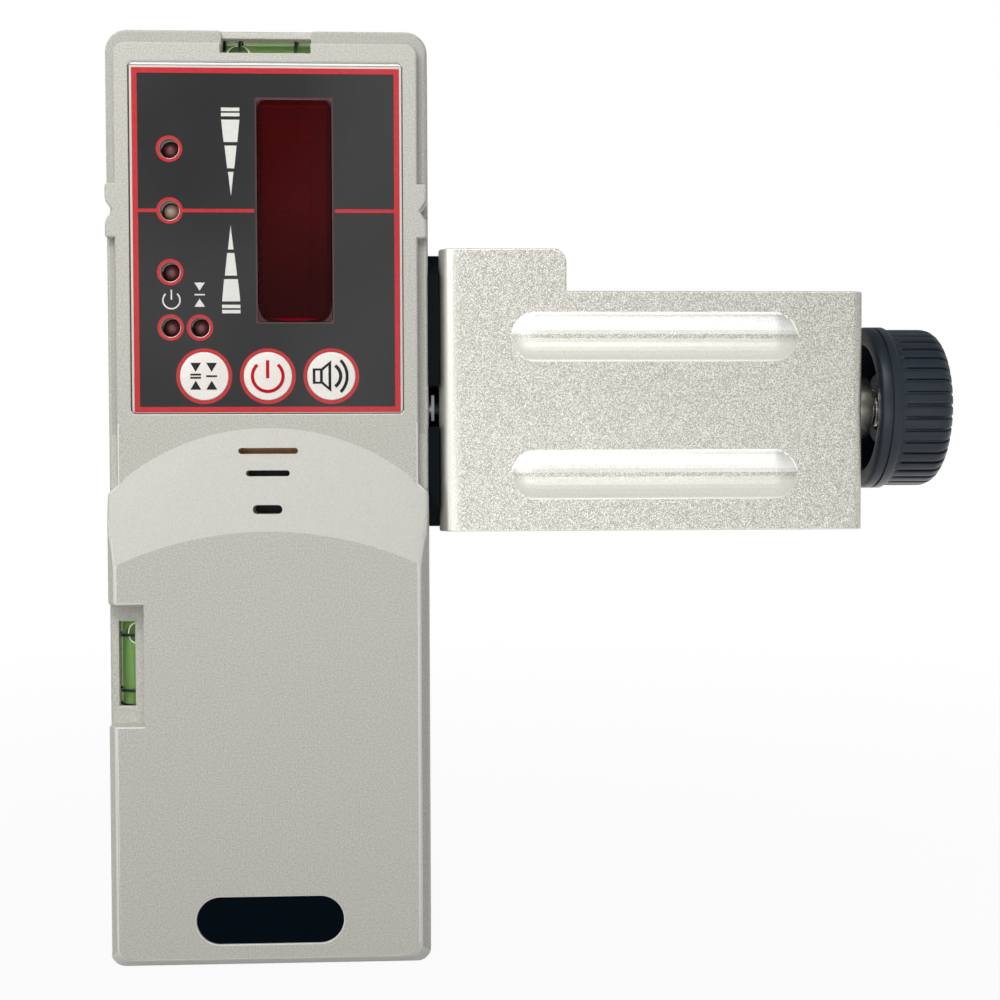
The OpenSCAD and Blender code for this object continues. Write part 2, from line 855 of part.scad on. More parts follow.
// Printed overlay with openings for the window, the lamps and the keys
module front_panel() {
    color([0.16, 0.17, 0.17])
        difference() {
            slab(panel_front_y, seat_y)
                panel_outline(fit);
            slab(panel_front_y - overrun, seat_y + overrun)
                window_outline(0, window_r);
            for (z = signal_zs)
                bar_y(lamp_r + lamp_gap, panel_front_y - overrun, seat_y + overrun, lamp_x, z);
            for (x = status_xs)
                bar_y(lamp_r + lamp_gap, panel_front_y - overrun, seat_y + overrun, x, status_z);
            for (x = key_xs)
                bar_y(key_r + key_gap, panel_front_y - overrun, seat_y + overrun, x, key_z);
        }
}

module detector_window() {
    color([0.26, 0.03, 0.06])
        slab(seat_y - window_t, seat_y)
            window_outline(fit, window_r);
}

// Key cap with a slightly domed face and a flange that keeps it behind the wall
module key_cap(x) {
    dome_r = (pow(key_r, 2) + pow(key_dome, 2)) / (2 * key_dome);
    intersection() {
        union() {
            bar_y(key_r, key_front_y - key_dome, key_flange_y + skin, x, key_z);
            bar_y(key_r + key_flange, key_flange_y, key_flange_y + key_flange_t, x, key_z);
        }
        translate([x, key_front_y - key_dome + dome_r, key_z])
            sphere(r = dome_r, $fn = 4 * $fn);
    }
}

module key_accuracy() {
    color([0.93, 0.9, 0.86])
        key_cap(key_xs[0]);
}

module key_power() {
    color([0.93, 0.9, 0.86])
        key_cap(key_xs[1]);
}

module key_volume() {
    color([0.93, 0.9, 0.86])
        key_cap(key_xs[2]);
}

module main_board() {
    color([0.1, 0.35, 0.2])
        difference() {
            block([-board_w / 2, board_y, board_bottom], [board_w / 2, board_back_y, board_top]);
            at_posts()
                bar_y(board_screw_r + shank_gap, board_y - overrun, board_back_y + overrun, 0, 0);
            at_bosses()
                bar_y(boss_r + boss_gap, board_y - overrun, board_back_y + overrun, 0, 0);
        }
}

module tact_switches() {
    color([0.2, 0.2, 0.22])
        for (x = key_xs) {
            block([x - switch_w / 2, switch_top_y + switch_plunger_h, key_z - switch_w / 2],
                [x + switch_w / 2, board_y, key_z + switch_w / 2]);
            bar_y(switch_plunger_r, switch_top_y, board_y, x, key_z);
        }
}

// Lamp with a foot, a round body and a domed tip
module lamp(x, z) {
    tip_y = seat_y + lamp_recess;
    bar_y(lamp_foot_r, board_y - lamp_foot_h, board_y, x, z);
    bar_y(lamp_r, tip_y + lamp_r, board_y, x, z);
    translate([x, tip_y + lamp_r, z])
        sphere(r = lamp_r);
}

module signal_lamps() {
    color([0.4, 0.1, 0.12])
        for (z = signal_zs)
            lamp(lamp_x, z);
}

module status_lamps() {
    color([0.4, 0.1, 0.12])
        for (x = status_xs)
            lamp(x, status_z);
}

module photodiodes() {
    color([0.05, 0.05, 0.08])
        for (i = [0 : diode_count - 1]) {
            z = sight_z + (i - (diode_count - 1) / 2) * diode_pitch;
            block([window_x - diode_w / 2, board_y - diode_t, z - diode_h / 2],
                [window_x + diode_w / 2, board_y, z + diode_h / 2]);
        }
}

module board_chips() {
    color([0.08, 0.08, 0.08])
        for (i = [0 : len(chip_place_shares) - 1]) {
            half_x = chip_size_shares[i][0] * board_w / 2;
            half_z = chip_size_shares[i][1] * (board_top - board_bottom) / 2;
            x = chip_place_shares[i][0] * board_w;
            z = board_bottom + chip_place_shares[i][1] * (board_top - board_bottom);
            block([x - half_x, board_back_y, z - half_z], [x + half_x, board_back_y + chip_t, z + half_z]);
        }
}

module board_screws() {
    color([0.65, 0.65, 0.65])
        at_posts() {
            bar_y(board_screw_r, board_y - board_pilot_len + fit, board_back_y + fit, 0, 0);
            bar_y(board_head_r, board_back_y, board_back_y + board_head_h, 0, 0);
        }
}

// Brass disc glued behind the sound slots
module sounder() {
    color([0.75, 0.55, 0.25]) {
        bar_y(sounder_r, cavity_y, cavity_y + sounder_t, 0, slot_zs[1]);
        bar_y(sounder_disc_r, cavity_y, cavity_y + sounder_t + sounder_disc_t, 0, slot_zs[1]);
    }
}

// Vial pieces, lying along x about the origin
module vial_tube() {
    difference() {
        bar_x(vial_r, -vial_len / 2, vial_len / 2, 0, 0);
        bar_x(vial_bore_r, -vial_len / 2 + vial_end, vial_len / 2 - vial_end, 0, 0);
        for (side = [-1, 1])
            ring(side, ring_w + 2 * fit, vial_r + overrun, vial_r - ring_t - fit);
    }
}

module ring(side, w, r_out, r_in) {
    x = side * ring_pitch / 2;
    difference() {
        bar_x(r_out, x - w / 2, x + w / 2, 0, 0);
        bar_x(r_in, x - w / 2 - overrun, x + w / 2 + overrun, 0, 0);
    }
}

module vial_rings() {
    for (side = [-1, 1])
        ring(side, ring_w, vial_r, vial_r - ring_t);
}

// The bubble lies at the left end, towards the front
module vial_fluid() {
    bubble_x = -vial_len / 2 + vial_end + bubble_end_gap + bubble_r;
    bubble_y = -vial_bore_r + bubble_r * bubble_sink_share;
    difference() {
        bar_x(vial_bore_r - fit, -vial_len / 2 + vial_end + fit, vial_len / 2 - vial_end - fit, 0, 0);
        for (x = [bubble_x, bubble_x + bubble_len - 2 * bubble_r])
            translate([x, bubble_y, 0])
                sphere(r = bubble_r);
        bar_x(bubble_r, bubble_x, bubble_x + bubble_len - 2 * bubble_r, bubble_y, 0);
    }
}

module at_top_vial() {
    translate([0, top_vial_y, top_vial_z])
        children();
}

// The side vial stands on end, with its bubble at the top
module at_side_vial() {
    translate([side_vial_x, side_vial_y, pocket_z])
        rotate([0, 90, 0])
            children();
}

module top_vial_tube() {
    color([0.85, 0.9, 0.85, 0.4])
        at_top_vial()
            vial_tube();
}

module top_vial_fluid() {
    color([0.35, 0.46, 0.28])
        at_top_vial()
            vial_fluid();
}

module top_vial_rings() {
    color([0.03, 0.03, 0.03])
        at_top_vial()
            vial_rings();
}

module side_vial_tube() {
    color([0.85, 0.9, 0.85, 0.4])
        at_side_vial()
            vial_tube();
}

module side_vial_fluid() {
    color([0.35, 0.46, 0.28])
        at_side_vial()
            vial_fluid();
}

module side_vial_rings() {
    color([0.03, 0.03, 0.03])
        at_side_vial()
            vial_rings();
}

// Door over the battery bay, turning on two pins at its lower end
module battery_door() {
    color([0.76, 0.76, 0.72])
        difference() {
            union() {
                block([-door_half_w, door_y0, hinge_z], [door_half_w, rear_d, door_z1]);
                bar_x(knuckle_r, -door_half_w, door_half_w, hinge_y, hinge_z);
                bar_x(hinge_pin_r, -door_half_w - hinge_pin_len, door_half_w + hinge_pin_len,
                    hinge_y, hinge_z);
            }
            for (i = [1 : door_groove_count])
                block([-door_half_w * door_groove_len_share, rear_d - door_groove_d,
                        door_z1 - i * door_groove_pitch - door_groove_w],
                    [door_half_w * door_groove_len_share, rear_d + overrun,
                        door_z1 - i * door_groove_pitch]);
        }
}

module battery() {
    terminal_y = (battery_y0 + battery_y1) / 2;
    color([0.2, 0.2, 0.22]) {
        block([-battery_w / 2, battery_y0, battery_z0],
            [battery_w / 2, battery_y1, battery_z0 + battery_h]);
        for (i = [0, 1])
            bar_z(terminal_rs[i], battery_z0 + battery_h - skin, battery_z0 + battery_h + terminal_h,
                (i - 1 / 2) * terminal_pitch, terminal_y);
    }
}

// Snap connector at the top of the bay, with a socket round each terminal
module battery_clip() {
    terminal_y = (battery_y0 + battery_y1) / 2;
    color([0.15, 0.15, 0.15])
        difference() {
            union() {
                block([-battery_w / 2, battery_y0, clip_z0], [battery_w / 2, battery_y1, bay_z1]);
                for (i = [0, 1])
                    bar_z(terminal_rs[i] + fit + socket_wall, clip_z0 - terminal_h, clip_z0 + skin,
                        (i - 1 / 2) * terminal_pitch, terminal_y);
            }
            for (i = [0, 1])
                bar_z(terminal_rs[i] + fit, clip_z0 - terminal_h - overrun, clip_z0 - bay_gap + fit,
                    (i - 1 / 2) * terminal_pitch, terminal_y);
        }
}

// Threaded insert in the side of the rear shell
module mount_insert() {
    color([0.72, 0.58, 0.3])
        difference() {
            bar_x(insert_r, half_w - insert_len, half_w, axis_y, axis_z);
            bar_x(fixing_r + fit, half_w - insert_len + insert_end, half_w + overrun, axis_y, axis_z);
        }
}

module fixing_screw() {
    color([0.6, 0.6, 0.6])
        difference() {
            union() {
                bar_x(fixing_r, half_w - insert_len + insert_end + free_gap, flange_in_x + fit,
                    axis_y, axis_z);
                bar_x(fixing_head_r, flange_in_x, flange_in_x + fixing_head_h, axis_y, axis_z);
            }
            translate([flange_in_x + fixing_head_h - head_socket_d, axis_y, axis_z])
                rotate([0, 90, 0])
                    cylinder(r = head_socket_r, h = head_socket_d + overrun, $fn = screw_socket_sides);
        }
}

module fixing_washer() {
    color([0.7, 0.7, 0.7])
        difference() {
            bar_x(washer_r, half_w, flange_x, axis_y, axis_z);
            bar_x(fixing_r + shank_gap, half_w - overrun, flange_x + overrun, axis_y, axis_z);
        }
}

// Spacer pad between the receiver and the flange, slotted to the front for the washer
module bracket_pad() {
    y0 = plate_y + pad_rim;
    y1 = flange_end_y - pad_rim;
    z0 = bracket_z0 + pad_rim;
    z1 = tab_z1 - pad_rim;
    color([0.05, 0.08, 0.1])
        translate([half_w, 0, 0])
            difference() {
                rotate([90, 0, 90])
                    linear_extrude(pad_t)
                        polygon([[y0 + pad_cut, z0], [y1, z0], [y1, z1], [y0 + pad_cut, z1],
                            [y0, z1 - pad_cut], [y0, z0 + pad_cut]]);
                bar_x(washer_r + washer_gap, -overrun, pad_t + overrun, axis_y, axis_z);
                block([-overrun, y0 - overrun, axis_z - pad_slot_w / 2],
                    [pad_t + overrun, axis_y, axis_z + pad_slot_w / 2]);
            }
}

// Plan of the bent sheet: a channel open to the back, with a round bend at each end
module channel_outline(inset) {
    x0 = flange_x + inset;
    x1 = bracket_end_x - inset;
    y0 = plate_y + inset;
    r0 = bend_r - inset;
    r1 = bend_r_knob - inset;
    y1 = flange_end_y + (inset > 0 ? overrun : 0);
    translate([x0 + r0, y0 + r0])
        circle(r0);
    translate([x1 - r1, y0 + r1])
        circle(r1);
    translate([x0 + r0, y0])
        square([x1 - x0 - r0 - r1, y1 - y0]);
    translate([x0, y0 + r0])
        square([x1 - x0 - r1, y1 - y0 - r0]);
    translate([x0 + r0, y0 + r1])
        square([x1 - x0 - r0, y1 - y0 - r1]);
}

// Round-topped rib, as a bar with ball ends, in front of a plane
module rib_form(z, r, face_y) {
    intersection() {
        union() {
            bar_x(r, rib_x0 + rib_end, rib_x0 + rib_len - rib_end, rib_axis_y, z);
            for (x = [rib_x0 + rib_end, rib_x0 + rib_len - rib_end])
                translate([x, rib_axis_y, z])
                    sphere(r = r);
        }
        block([rib_x0 - rib_w, plate_y - rib_w, z - rib_w], [rib_x0 + rib_len + rib_w, face_y, z + rib_w]);
    }
}

module bracket() {
    tab_x = flange_x + tab_w;
    color([0.78, 0.78, 0.75])
        difference() {
            union() {
                difference() {
                    plan(bracket_z0, tab_z1)
                        difference() {
                            channel_outline(0);
                            channel_outline(sheet_t);
                        }
                    block([tab_x - tab_r, plate_y - overrun, tab_z1 - tab_r],
                        [bracket_end_x + overrun, flange_end_y + overrun, tab_z1 + overrun]);
                    block([tab_x, plate_y - overrun, bracket_z1],
                        [bracket_end_x + overrun, flange_end_y + overrun, tab_z1 + overrun]);
                }
                bar_y(tab_r, plate_y, plate_in_y, tab_x - tab_r, tab_z1 - tab_r);
                for (side = [-1, 1])
                    rib_form(axis_z + side * rib_pitch / 2, rib_r, plate_y + skin);
            }
            for (side = [-1, 1])
                rib_form(axis_z + side * rib_pitch / 2, rib_r - sheet_t, plate_in_y + overrun);
            bar_x(fixing_r + shank_gap, flange_x - overrun, flange_in_x + overrun, axis_y, axis_z);
            bar_x(bush_neck_r + fit, bracket_in_x - overrun, bracket_end_x + overrun, axis_y, axis_z);
        }
}

// Rubber pad of the fixed jaw, with a hole round the fixing screw's head
module jaw_pad() {
    color([0.06, 0.06, 0.07])
        difference() {
            block([flange_in_x, jaw_y0, axis_z - jaw_h / 2], [jaw_x, jaw_y1, axis_z + jaw_h / 2]);
            bar_x(fixing_head_r + jaw_head_gap, flange_in_x - overrun, jaw_x + overrun, axis_y, axis_z);
        }
}

// Threaded bush riveted into the flange at the knob
module clamp_bush() {
    color([0.7, 0.7, 0.68])
        difference() {
            union() {
                bar_x(bush_r, bracket_end_x, bracket_end_x + bush_len, axis_y, axis_z);
                bar_x(bush_neck_r, bracket_in_x - bush_lip, bracket_end_x + fit, axis_y, axis_z);
                bar_x(bush_r, bracket_in_x - bush_lip, bracket_in_x, axis_y, axis_z);
            }
            bar_x(screw_r + running_gap, bracket_in_x - bush_lip - overrun,
                bracket_end_x + bush_len + overrun, axis_y, axis_z);
        }
}

// Moving jaw, kept from turning by the bracket's face
module clamp_foot() {
    color([0.1, 0.1, 0.11])
        difference() {
            union() {
                translate([foot_x, 0, 0])
                    rotate([90, 0, 90])
                        linear_extrude(foot_t)
                            translate([(foot_y0 + jaw_y1) / 2, 0])
                                outline(jaw_y1 - foot_y0, axis_z - jaw_h / 2, axis_z + jaw_h / 2,
                                    foot_r, foot_r);
                bar_x(foot_hub_r, foot_back_x - skin, foot_hub_x, axis_y, axis_z);
            }
            bar_x(screw_r + running_gap, screw_tip_x - free_gap, foot_hub_x + overrun, axis_y, axis_z);
        }
}

module foot_pad() {
    color([0.06, 0.06, 0.07])
        translate([foot_pad_x, 0, 0])
            rotate([90, 0, 90])
                linear_extrude(foot_pad_t)
                    translate([(foot_y0 + jaw_y1) / 2, 0])
                        outline(jaw_y1 - foot_y0 - 2 * foot_pad_rim, axis_z - jaw_h / 2 + foot_pad_rim,
                            axis_z + jaw_h / 2 - foot_pad_rim, foot_r, foot_r);
}

module clamp_screw() {
    color([0.65, 0.65, 0.63])
        bar_x(screw_r, screw_tip_x, screw_end_x, axis_y, axis_z);
}

// Half section of the knob, radius across and length along the axis
module knob_section() {
    rib_part_r = knob_r - knob_step;
    difference() {
        union() {
            square([knob_r, knob_collar]);
            square([rib_part_r, knob_len - knob_round]);
            square([rib_part_r - knob_round, knob_len]);
            translate([rib_part_r - knob_round, knob_len - knob_round])
                circle(knob_round);
        }
        translate([knob_hub_r, -overrun])
            square([knob_cup_r - knob_hub_r, knob_cup_d + overrun]);
        translate([-overrun, -overrun])
            square([knob_hub_r + 2 * overrun, knob_hub_set + overrun]);
        translate([knob_r - knob_line_d, knob_collar / 2 - knob_line_w / 2])
            square([knob_line_d + overrun, knob_line_w]);
        translate([-knob_r, -overrun])
            square([knob_r, knob_len + 2 * overrun]);
    }
}

module clamp_knob() {
    rib_part_r = knob_r - knob_step;
    color([0.07, 0.08, 0.09])
        translate([knob_x, axis_y, axis_z])
            difference() {
                rotate([0, 90, 0])
                    rotate_extrude()
                        knob_section();
                for (i = [0 : knob_grooves - 1])
                    rotate([360 * i / knob_grooves, 0, 0])
                        block([knob_collar + groove_set, -groove_w / 2, rib_part_r - groove_d],
                            [knob_len, groove_w / 2, knob_r + overrun]);
                bar_x(screw_r + fit, -overrun, screw_end_x - knob_x + fit, 0, 0);
            }
}

front_shell();
rear_shell();
shell_gasket();
case_screws();
badge_plate();
front_panel();
detector_window();
key_accuracy();
key_power();
key_volume();
main_board();
tact_switches();
signal_lamps();
status_lamps();
photodiodes();
board_chips();
board_screws();
sounder();
top_vial_tube();
top_vial_fluid();
top_vial_rings();
side_vial_tube();
side_vial_fluid();
side_vial_rings();
battery_door();
battery();
battery_clip();
mount_insert();
fixing_screw();
fixing_washer();
bracket_pad();
bracket();
jaw_pad();
clamp_bush();
clamp_foot();
foot_pad();
clamp_screw();
clamp_knob();
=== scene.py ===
import math
import bmesh
import bpy
from mathutils import Matrix, Vector


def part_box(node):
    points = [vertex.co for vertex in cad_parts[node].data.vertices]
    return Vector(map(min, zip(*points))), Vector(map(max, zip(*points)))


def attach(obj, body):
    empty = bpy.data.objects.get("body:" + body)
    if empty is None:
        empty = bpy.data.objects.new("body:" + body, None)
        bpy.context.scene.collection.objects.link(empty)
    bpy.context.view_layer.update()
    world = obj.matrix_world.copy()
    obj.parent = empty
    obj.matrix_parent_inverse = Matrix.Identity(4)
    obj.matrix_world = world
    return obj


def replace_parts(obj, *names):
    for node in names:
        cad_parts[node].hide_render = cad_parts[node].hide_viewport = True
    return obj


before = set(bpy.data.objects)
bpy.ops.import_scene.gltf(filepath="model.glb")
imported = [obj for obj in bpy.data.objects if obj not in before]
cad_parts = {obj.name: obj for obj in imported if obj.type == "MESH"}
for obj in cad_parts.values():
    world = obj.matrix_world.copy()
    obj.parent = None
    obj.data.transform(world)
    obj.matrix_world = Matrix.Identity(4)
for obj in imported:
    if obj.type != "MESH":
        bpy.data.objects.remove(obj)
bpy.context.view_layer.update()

# Case halves: two plastic mouldings in matte silver-grey with a fine spark-eroded grain.
# They meet on the parting plane over a gasket; every moulded edge is a little rounded.
# On the front there is painted light: a lighter band where it slopes up, painted shade on the
# side ledges and in the keypad recess, and painted highlights on the lower edges and the foot.
mm = 0.001
weld_gap = 2e-6
flat_angle = math.radians(0.05)
curve_angle = math.radians(1.5)
sharp_angle = math.radians(24)
same_surface = math.cos(math.radians(35))
faces_front = -0.9
strip_width = 0.2 * mm
widest_edge = 1.0
rounding_steps = 3


class Signal:
    """A shader value: arithmetic written on it adds the Math nodes."""

    def __init__(self, maker, socket):
        self.maker = maker
        self.socket = socket

    def maths(self, operation, *values):
        return self.maker.node("ShaderNodeMath", {"operation": operation}, dict(enumerate(values)))

    def __add__(self, other):
        return self.maths("ADD", self, other)

    def __sub__(self, other):
        return self.maths("SUBTRACT", self, other)

    def __rsub__(self, other):
        return self.maths("SUBTRACT", other, self)

    def __mul__(self, other):
        return self.maths("MULTIPLY", self, other)

    def __lt__(self, other):
        return self.maths("LESS_THAN", self, other)

    def __gt__(self, other):
        return self.maths("GREATER_THAN", self, other)

    def __abs__(self):
        return self.maths("ABSOLUTE", self)

    __radd__ = __add__
    __rmul__ = __mul__

    def between(self, low, high):
        """1 where the value lies between two others, 0 elsewhere."""
        return (self > low) * (self < high)


class NodeMaker:
    """Makes every shader node of one tree."""

    def __init__(self, owner):
        owner.use_nodes = True
        self.tree = owner.node_tree

    def fill(self, node, sockets):
        for name, value in sockets.items():
            if isinstance(value, Signal):
                self.tree.links.new(value.socket, node.inputs[name])
            else:
                node.inputs[name].default_value = value

    def node(self, kind, settings, sockets, output=0):
        made = self.tree.nodes.new(kind)
        for name, value in settings.items():
            setattr(made, name, value)
        self.fill(made, sockets)
        return Signal(self, made.outputs[output])

    def ramp(self, value, start, end, low=0.0, high=1.0):
        """Runs from low to high while the value runs from start to end."""
        return self.node("ShaderNodeMapRange", {}, {
            "Value": value, "From Min": start, "From Max": end, "To Min": low, "To Max": high})

    def seen_by(self, *rays):
        """1 for rays of any of these kinds, 0 for others."""
        kinds = [self.node("ShaderNodeLightPath", {}, {}, "Is %s Ray" % ray) for ray in rays]
        return sum(kinds) > 0.5


class Finish(NodeMaker):
    """A finish of the object: a material on one shader."""

    def __init__(self, name, **constants):
        self.material = bpy.data.materials.new(name)
        super().__init__(self.material)
        self.shader = self.tree.nodes["Principled BSDF"]
        self.place = self.node("ShaderNodeTexCoord", {}, {}, "Object")
        self.feed(**constants)

    def feed(self, **signals):
        self.fill(self.shader, {key.replace("_", " "): value for key, value in signals.items()})

    def facing(self, axis):
        """How far the surface faces along one axis, from -1 to 1."""
        normal = self.node("ShaderNodeNewGeometry", {}, {}, "True Normal")
        return self.node("ShaderNodeSeparateXYZ", {}, {0: normal}, axis)

    def along(self, axis):
        """The place in millimetres along one axis of the object's frame."""
        return self.node("ShaderNodeSeparateXYZ", {}, {0: self.place}, axis) * (1 / mm)

    def grain(self, size, detail=2.0):
        """Noise from 0 to 1 with specks of about this size in millimetres."""
        sockets = {"Vector": self.place, "Scale": 1 / (size * mm), "Detail": detail}
        return self.node("ShaderNodeTexNoise", {}, sockets)

    def blend(self, amount, first, second):
        """A mix of two colours."""
        factor, colour_a, colour_b, colour_out = 0, 6, 7, 2
        sockets = {factor: amount, colour_a: first, colour_b: second}
        return self.node("ShaderNodeMix", {"data_type": "RGBA"}, sockets, colour_out)

    def layers(self, tone, *coats):
        """Lays coats, each a mask and a colour, over a first tone."""
        for mask, colour in coats:
            tone = self.blend(mask, tone, colour)
        return tone

    def relief(self, height, depth):
        sockets = {"Height": height, "Distance": depth * mm, "Strength": 1.0}
        return self.node("ShaderNodeBump", {}, sockets, "Normal")


def paint(red, green, blue):
    """A colour as it is seen, each part from 0 to 255, in the linear light of a shader."""
    seen = [part / 255 for part in (red, green, blue)]
    return [part / 12.92 if part < 0.0405 else ((part + 0.055) / 1.055) ** 2.4
            for part in seen] + [1]


def add_piece(name, mesh, finish, body):
    """Puts a mesh in the scene as a piece that moves with a body."""
    piece = bpy.data.objects.new(name, mesh)
    mesh.materials.append(finish.material)
    bpy.context.scene.collection.objects.link(piece)
    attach(piece, body)
    return piece


def trim_corners(work):
    """Cuts the corners that rounding has lifted off a broad face's plane out of that face."""
    for face in list(work.faces):
        heights = sorted(vert.co.dot(face.normal) for vert in face.verts)
        plane = heights[len(heights) // 2]
        verts = list(face.verts)
        stray = [abs(vert.co.dot(face.normal) - plane) > weld_gap for vert in verts]
        if len(verts) < 5 or not any(stray) or sum(stray) > len(verts) / 2:
            continue
        start = stray.index(False)
        verts, stray = verts[start:] + verts[:start + 1], stray[start:] + stray[:start + 1]
        before = None
        for i in range(1, len(verts)):
            if stray[i] and not stray[i - 1]:
                before = verts[i - 1]
            if stray[i - 1] and not stray[i]:
                after = verts[i]
                held = [one for one in before.link_faces
                        if after in one.verts and len(one.verts) > 3]
                if held and before != after:
                    broadest = max(held, key=lambda one: one.calc_area())
                    bmesh.utils.face_split(broadest, before, after)


def settle_normals(mesh):
    """Flat faces stay flat to their borders; rounded and curved faces run out into them."""
    work = bmesh.new()
    work.from_mesh(mesh)
    trim_corners(work)
    work.to_mesh(mesh)
    work.normal_update()
    flat = work.faces.layers.int["flat"]
    broad = {face for face in work.faces
             if face[flat] and face.calc_area() > strip_width * face.calc_perimeter()}
    normals = []
    for face in work.faces:
        for loop in face.loops:
            near = [other for other in loop.vert.link_faces
                    if other.normal.dot(face.normal) > same_surface]
            beside = [other.normal for other in near if other in broad]
            if face in broad:
                normals.append(face.normal.copy())
            elif beside:
                normals.append(max(beside, key=face.normal.dot).copy())
            else:
                normals.append(sum((other.normal for other in near), Vector()).normalized())
    work.free()
    mesh.normals_split_custom_set(normals)


def eased(name, node, radius, finish, body):
    """Stands for a CAD node with its edges rounded, each by radius(x, y, z, convex) in mm."""
    work = bmesh.new()
    work.from_mesh(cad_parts[node].data)
    bmesh.ops.remove_doubles(work, verts=work.verts, dist=weld_gap)
    bmesh.ops.dissolve_limit(work, angle_limit=flat_angle, verts=work.verts, edges=work.edges)
    weights = work.edges.layers.float.new("bevel_weight_edge")
    flat = work.faces.layers.int.new("flat")
    for face in work.faces:
        face.smooth = True
        bends = [edge.calc_face_angle(0) for edge in face.edges]
        curved = any(curve_angle < bend < sharp_angle for bend in bends)
        face[flat] = face.normal.y < faces_front or not curved
    for edge in work.edges:
        if edge.is_manifold and edge.calc_face_angle() > sharp_angle:
            middle = (edge.verts[0].co + edge.verts[1].co) / (2 * mm)
            edge[weights] = radius(*middle, edge.is_convex) / widest_edge
    merges = {}
    for edge in work.edges:
        rounds = [max(other[weights] for other in vert.link_edges) * widest_edge * mm
                  for vert in edge.verts]
        soft = edge.calc_face_angle(0) < sharp_angle
        if soft and min(rounds) == 0 and edge.calc_length() < max(rounds):
            plain = rounds.index(0)
            merges[edge.verts[plain]] = edge.verts[1 - plain]
    bmesh.ops.weld_verts(work, targetmap=merges)
    mesh = bpy.data.meshes.new(name)
    work.to_mesh(mesh)
    work.free()
    if "custom_normal" in mesh.attributes:
        mesh.attributes.remove(mesh.attributes["custom_normal"])
    mesh.materials.clear()
    blank = bpy.data.objects.new("blank", mesh)
    bpy.context.scene.collection.objects.link(blank)
    rounding = blank.modifiers.new("rounded edges", "BEVEL")
    rounding.limit_method = "WEIGHT"
    rounding.width = widest_edge * mm
    rounding.segments = rounding_steps
    rounding.use_clamp_overlap = False
    depsgraph = bpy.context.evaluated_depsgraph_get()
    rounded = bpy.data.meshes.new_from_object(blank.evaluated_get(depsgraph))
    rounded.name = name
    bpy.data.objects.remove(blank)
    bpy.data.meshes.remove(mesh)
    settle_normals(rounded)
    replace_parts(add_piece(name, rounded, finish, body), node)


core_x, core_top, inner_r, rim_r = 25.4, 168, 3.4, 3.6
room_low, room_high, room_front, rim_front = 1, 170.3, -9.6, -9
recess_x, recess_low, recess_high, recess_floor = 25, 101, 166, -11.2
seam_y, seam_round, foot_top, rim_round, plain_round = 0.3, 0.2, 4, 0.7, 0.45
front_zones = {
    "panel recess": (-25.5, 25.5, 101, 166.5, 0.3),
    "sound slots": (-16, 16, 80, 97, 0),
    "badge recess": (-14, 14, -1, 14, 0.2),
    "top of the vial pocket": (-30, -22, 66, 68, 0.5),
    "vial pocket": (-30, -22, 44, 68, 0.25),
    "vial notch": (-9, 9, 166, 173, 0.2),
}


def front_edge(x, y, z, convex):
    corner = math.hypot(max(abs(x) - core_x, 0), max(z - core_top, 0))
    hidden = corner < inner_r and y > room_front and room_low < z < room_high
    under_panel = abs(x) < recess_x and recess_low < z < recess_high and y > recess_floor
    if hidden or under_panel or not convex:
        return 0
    if y > -seam_y:
        return seam_round
    if corner > rim_r and y < rim_front:
        return rim_round if z > foot_top else 0
    for left, right, low, high, zone_round in front_zones.values():
        if left < x < right and low < z < high:
            return zone_round
    return plain_round


rear_room_x, rear_floor, rear_round = 28.2, 11.5, 0.3


def rear_edge(x, y, z, convex):
    inside = abs(x) < rear_room_x and room_low < z < room_high and y < rear_floor
    if inside or not convex:
        return 0
    return seam_round if y < seam_y else rear_round


case_finish = Finish("silver_case_plastic", Specular_IOR_Level=0.4)
sand = case_finish.grain(0.3)
cloud = case_finish.grain(9, 3)
speck = case_finish.ramp(sand, 0.32, 0.68)
case_x, case_y, case_z = [case_finish.along(axis) for axis in "XYZ"]
side_lean, front_lean, up_lean = [case_finish.facing(axis) for axis in "XYZ"]

# Painted light: the band where the front slopes up to the lower half, picked by its upward lean,
# is laid over in a lighter tone as if lit from above.
band_lean, band_z = (0.12, 0.3), (70, 100)
band_painted_light = up_lean.between(*band_lean) * case_z.between(*band_z)
# Painted shade: the side ledges beside the raised front face are laid over in a darker tone, as if
# in shade.
ledge_y, ledge_low = (-10.4, -9.9), 98
ledge_painted_shade = case_y.between(*ledge_y) * (front_lean < faces_front) * (case_z > ledge_low)
# Painted highlight: the rounded edges of the lower front that turn away from it are laid over in
# near white, as if catching the light.
edge_lean, edge_y, edge_high = (-0.985, -0.65), -11.3, 100
edge_painted_highlight = front_lean.between(*edge_lean) * (case_z < edge_high) * (case_y < edge_y)
# Painted highlight: the downward-facing slope along the foot is laid over in near white, as if lit
# from below.
base_high, base_lean, base_y = 2.2, -0.4, -12
base_painted_highlight = (case_z < base_high) * (up_lean < base_lean) * (case_y < base_y)
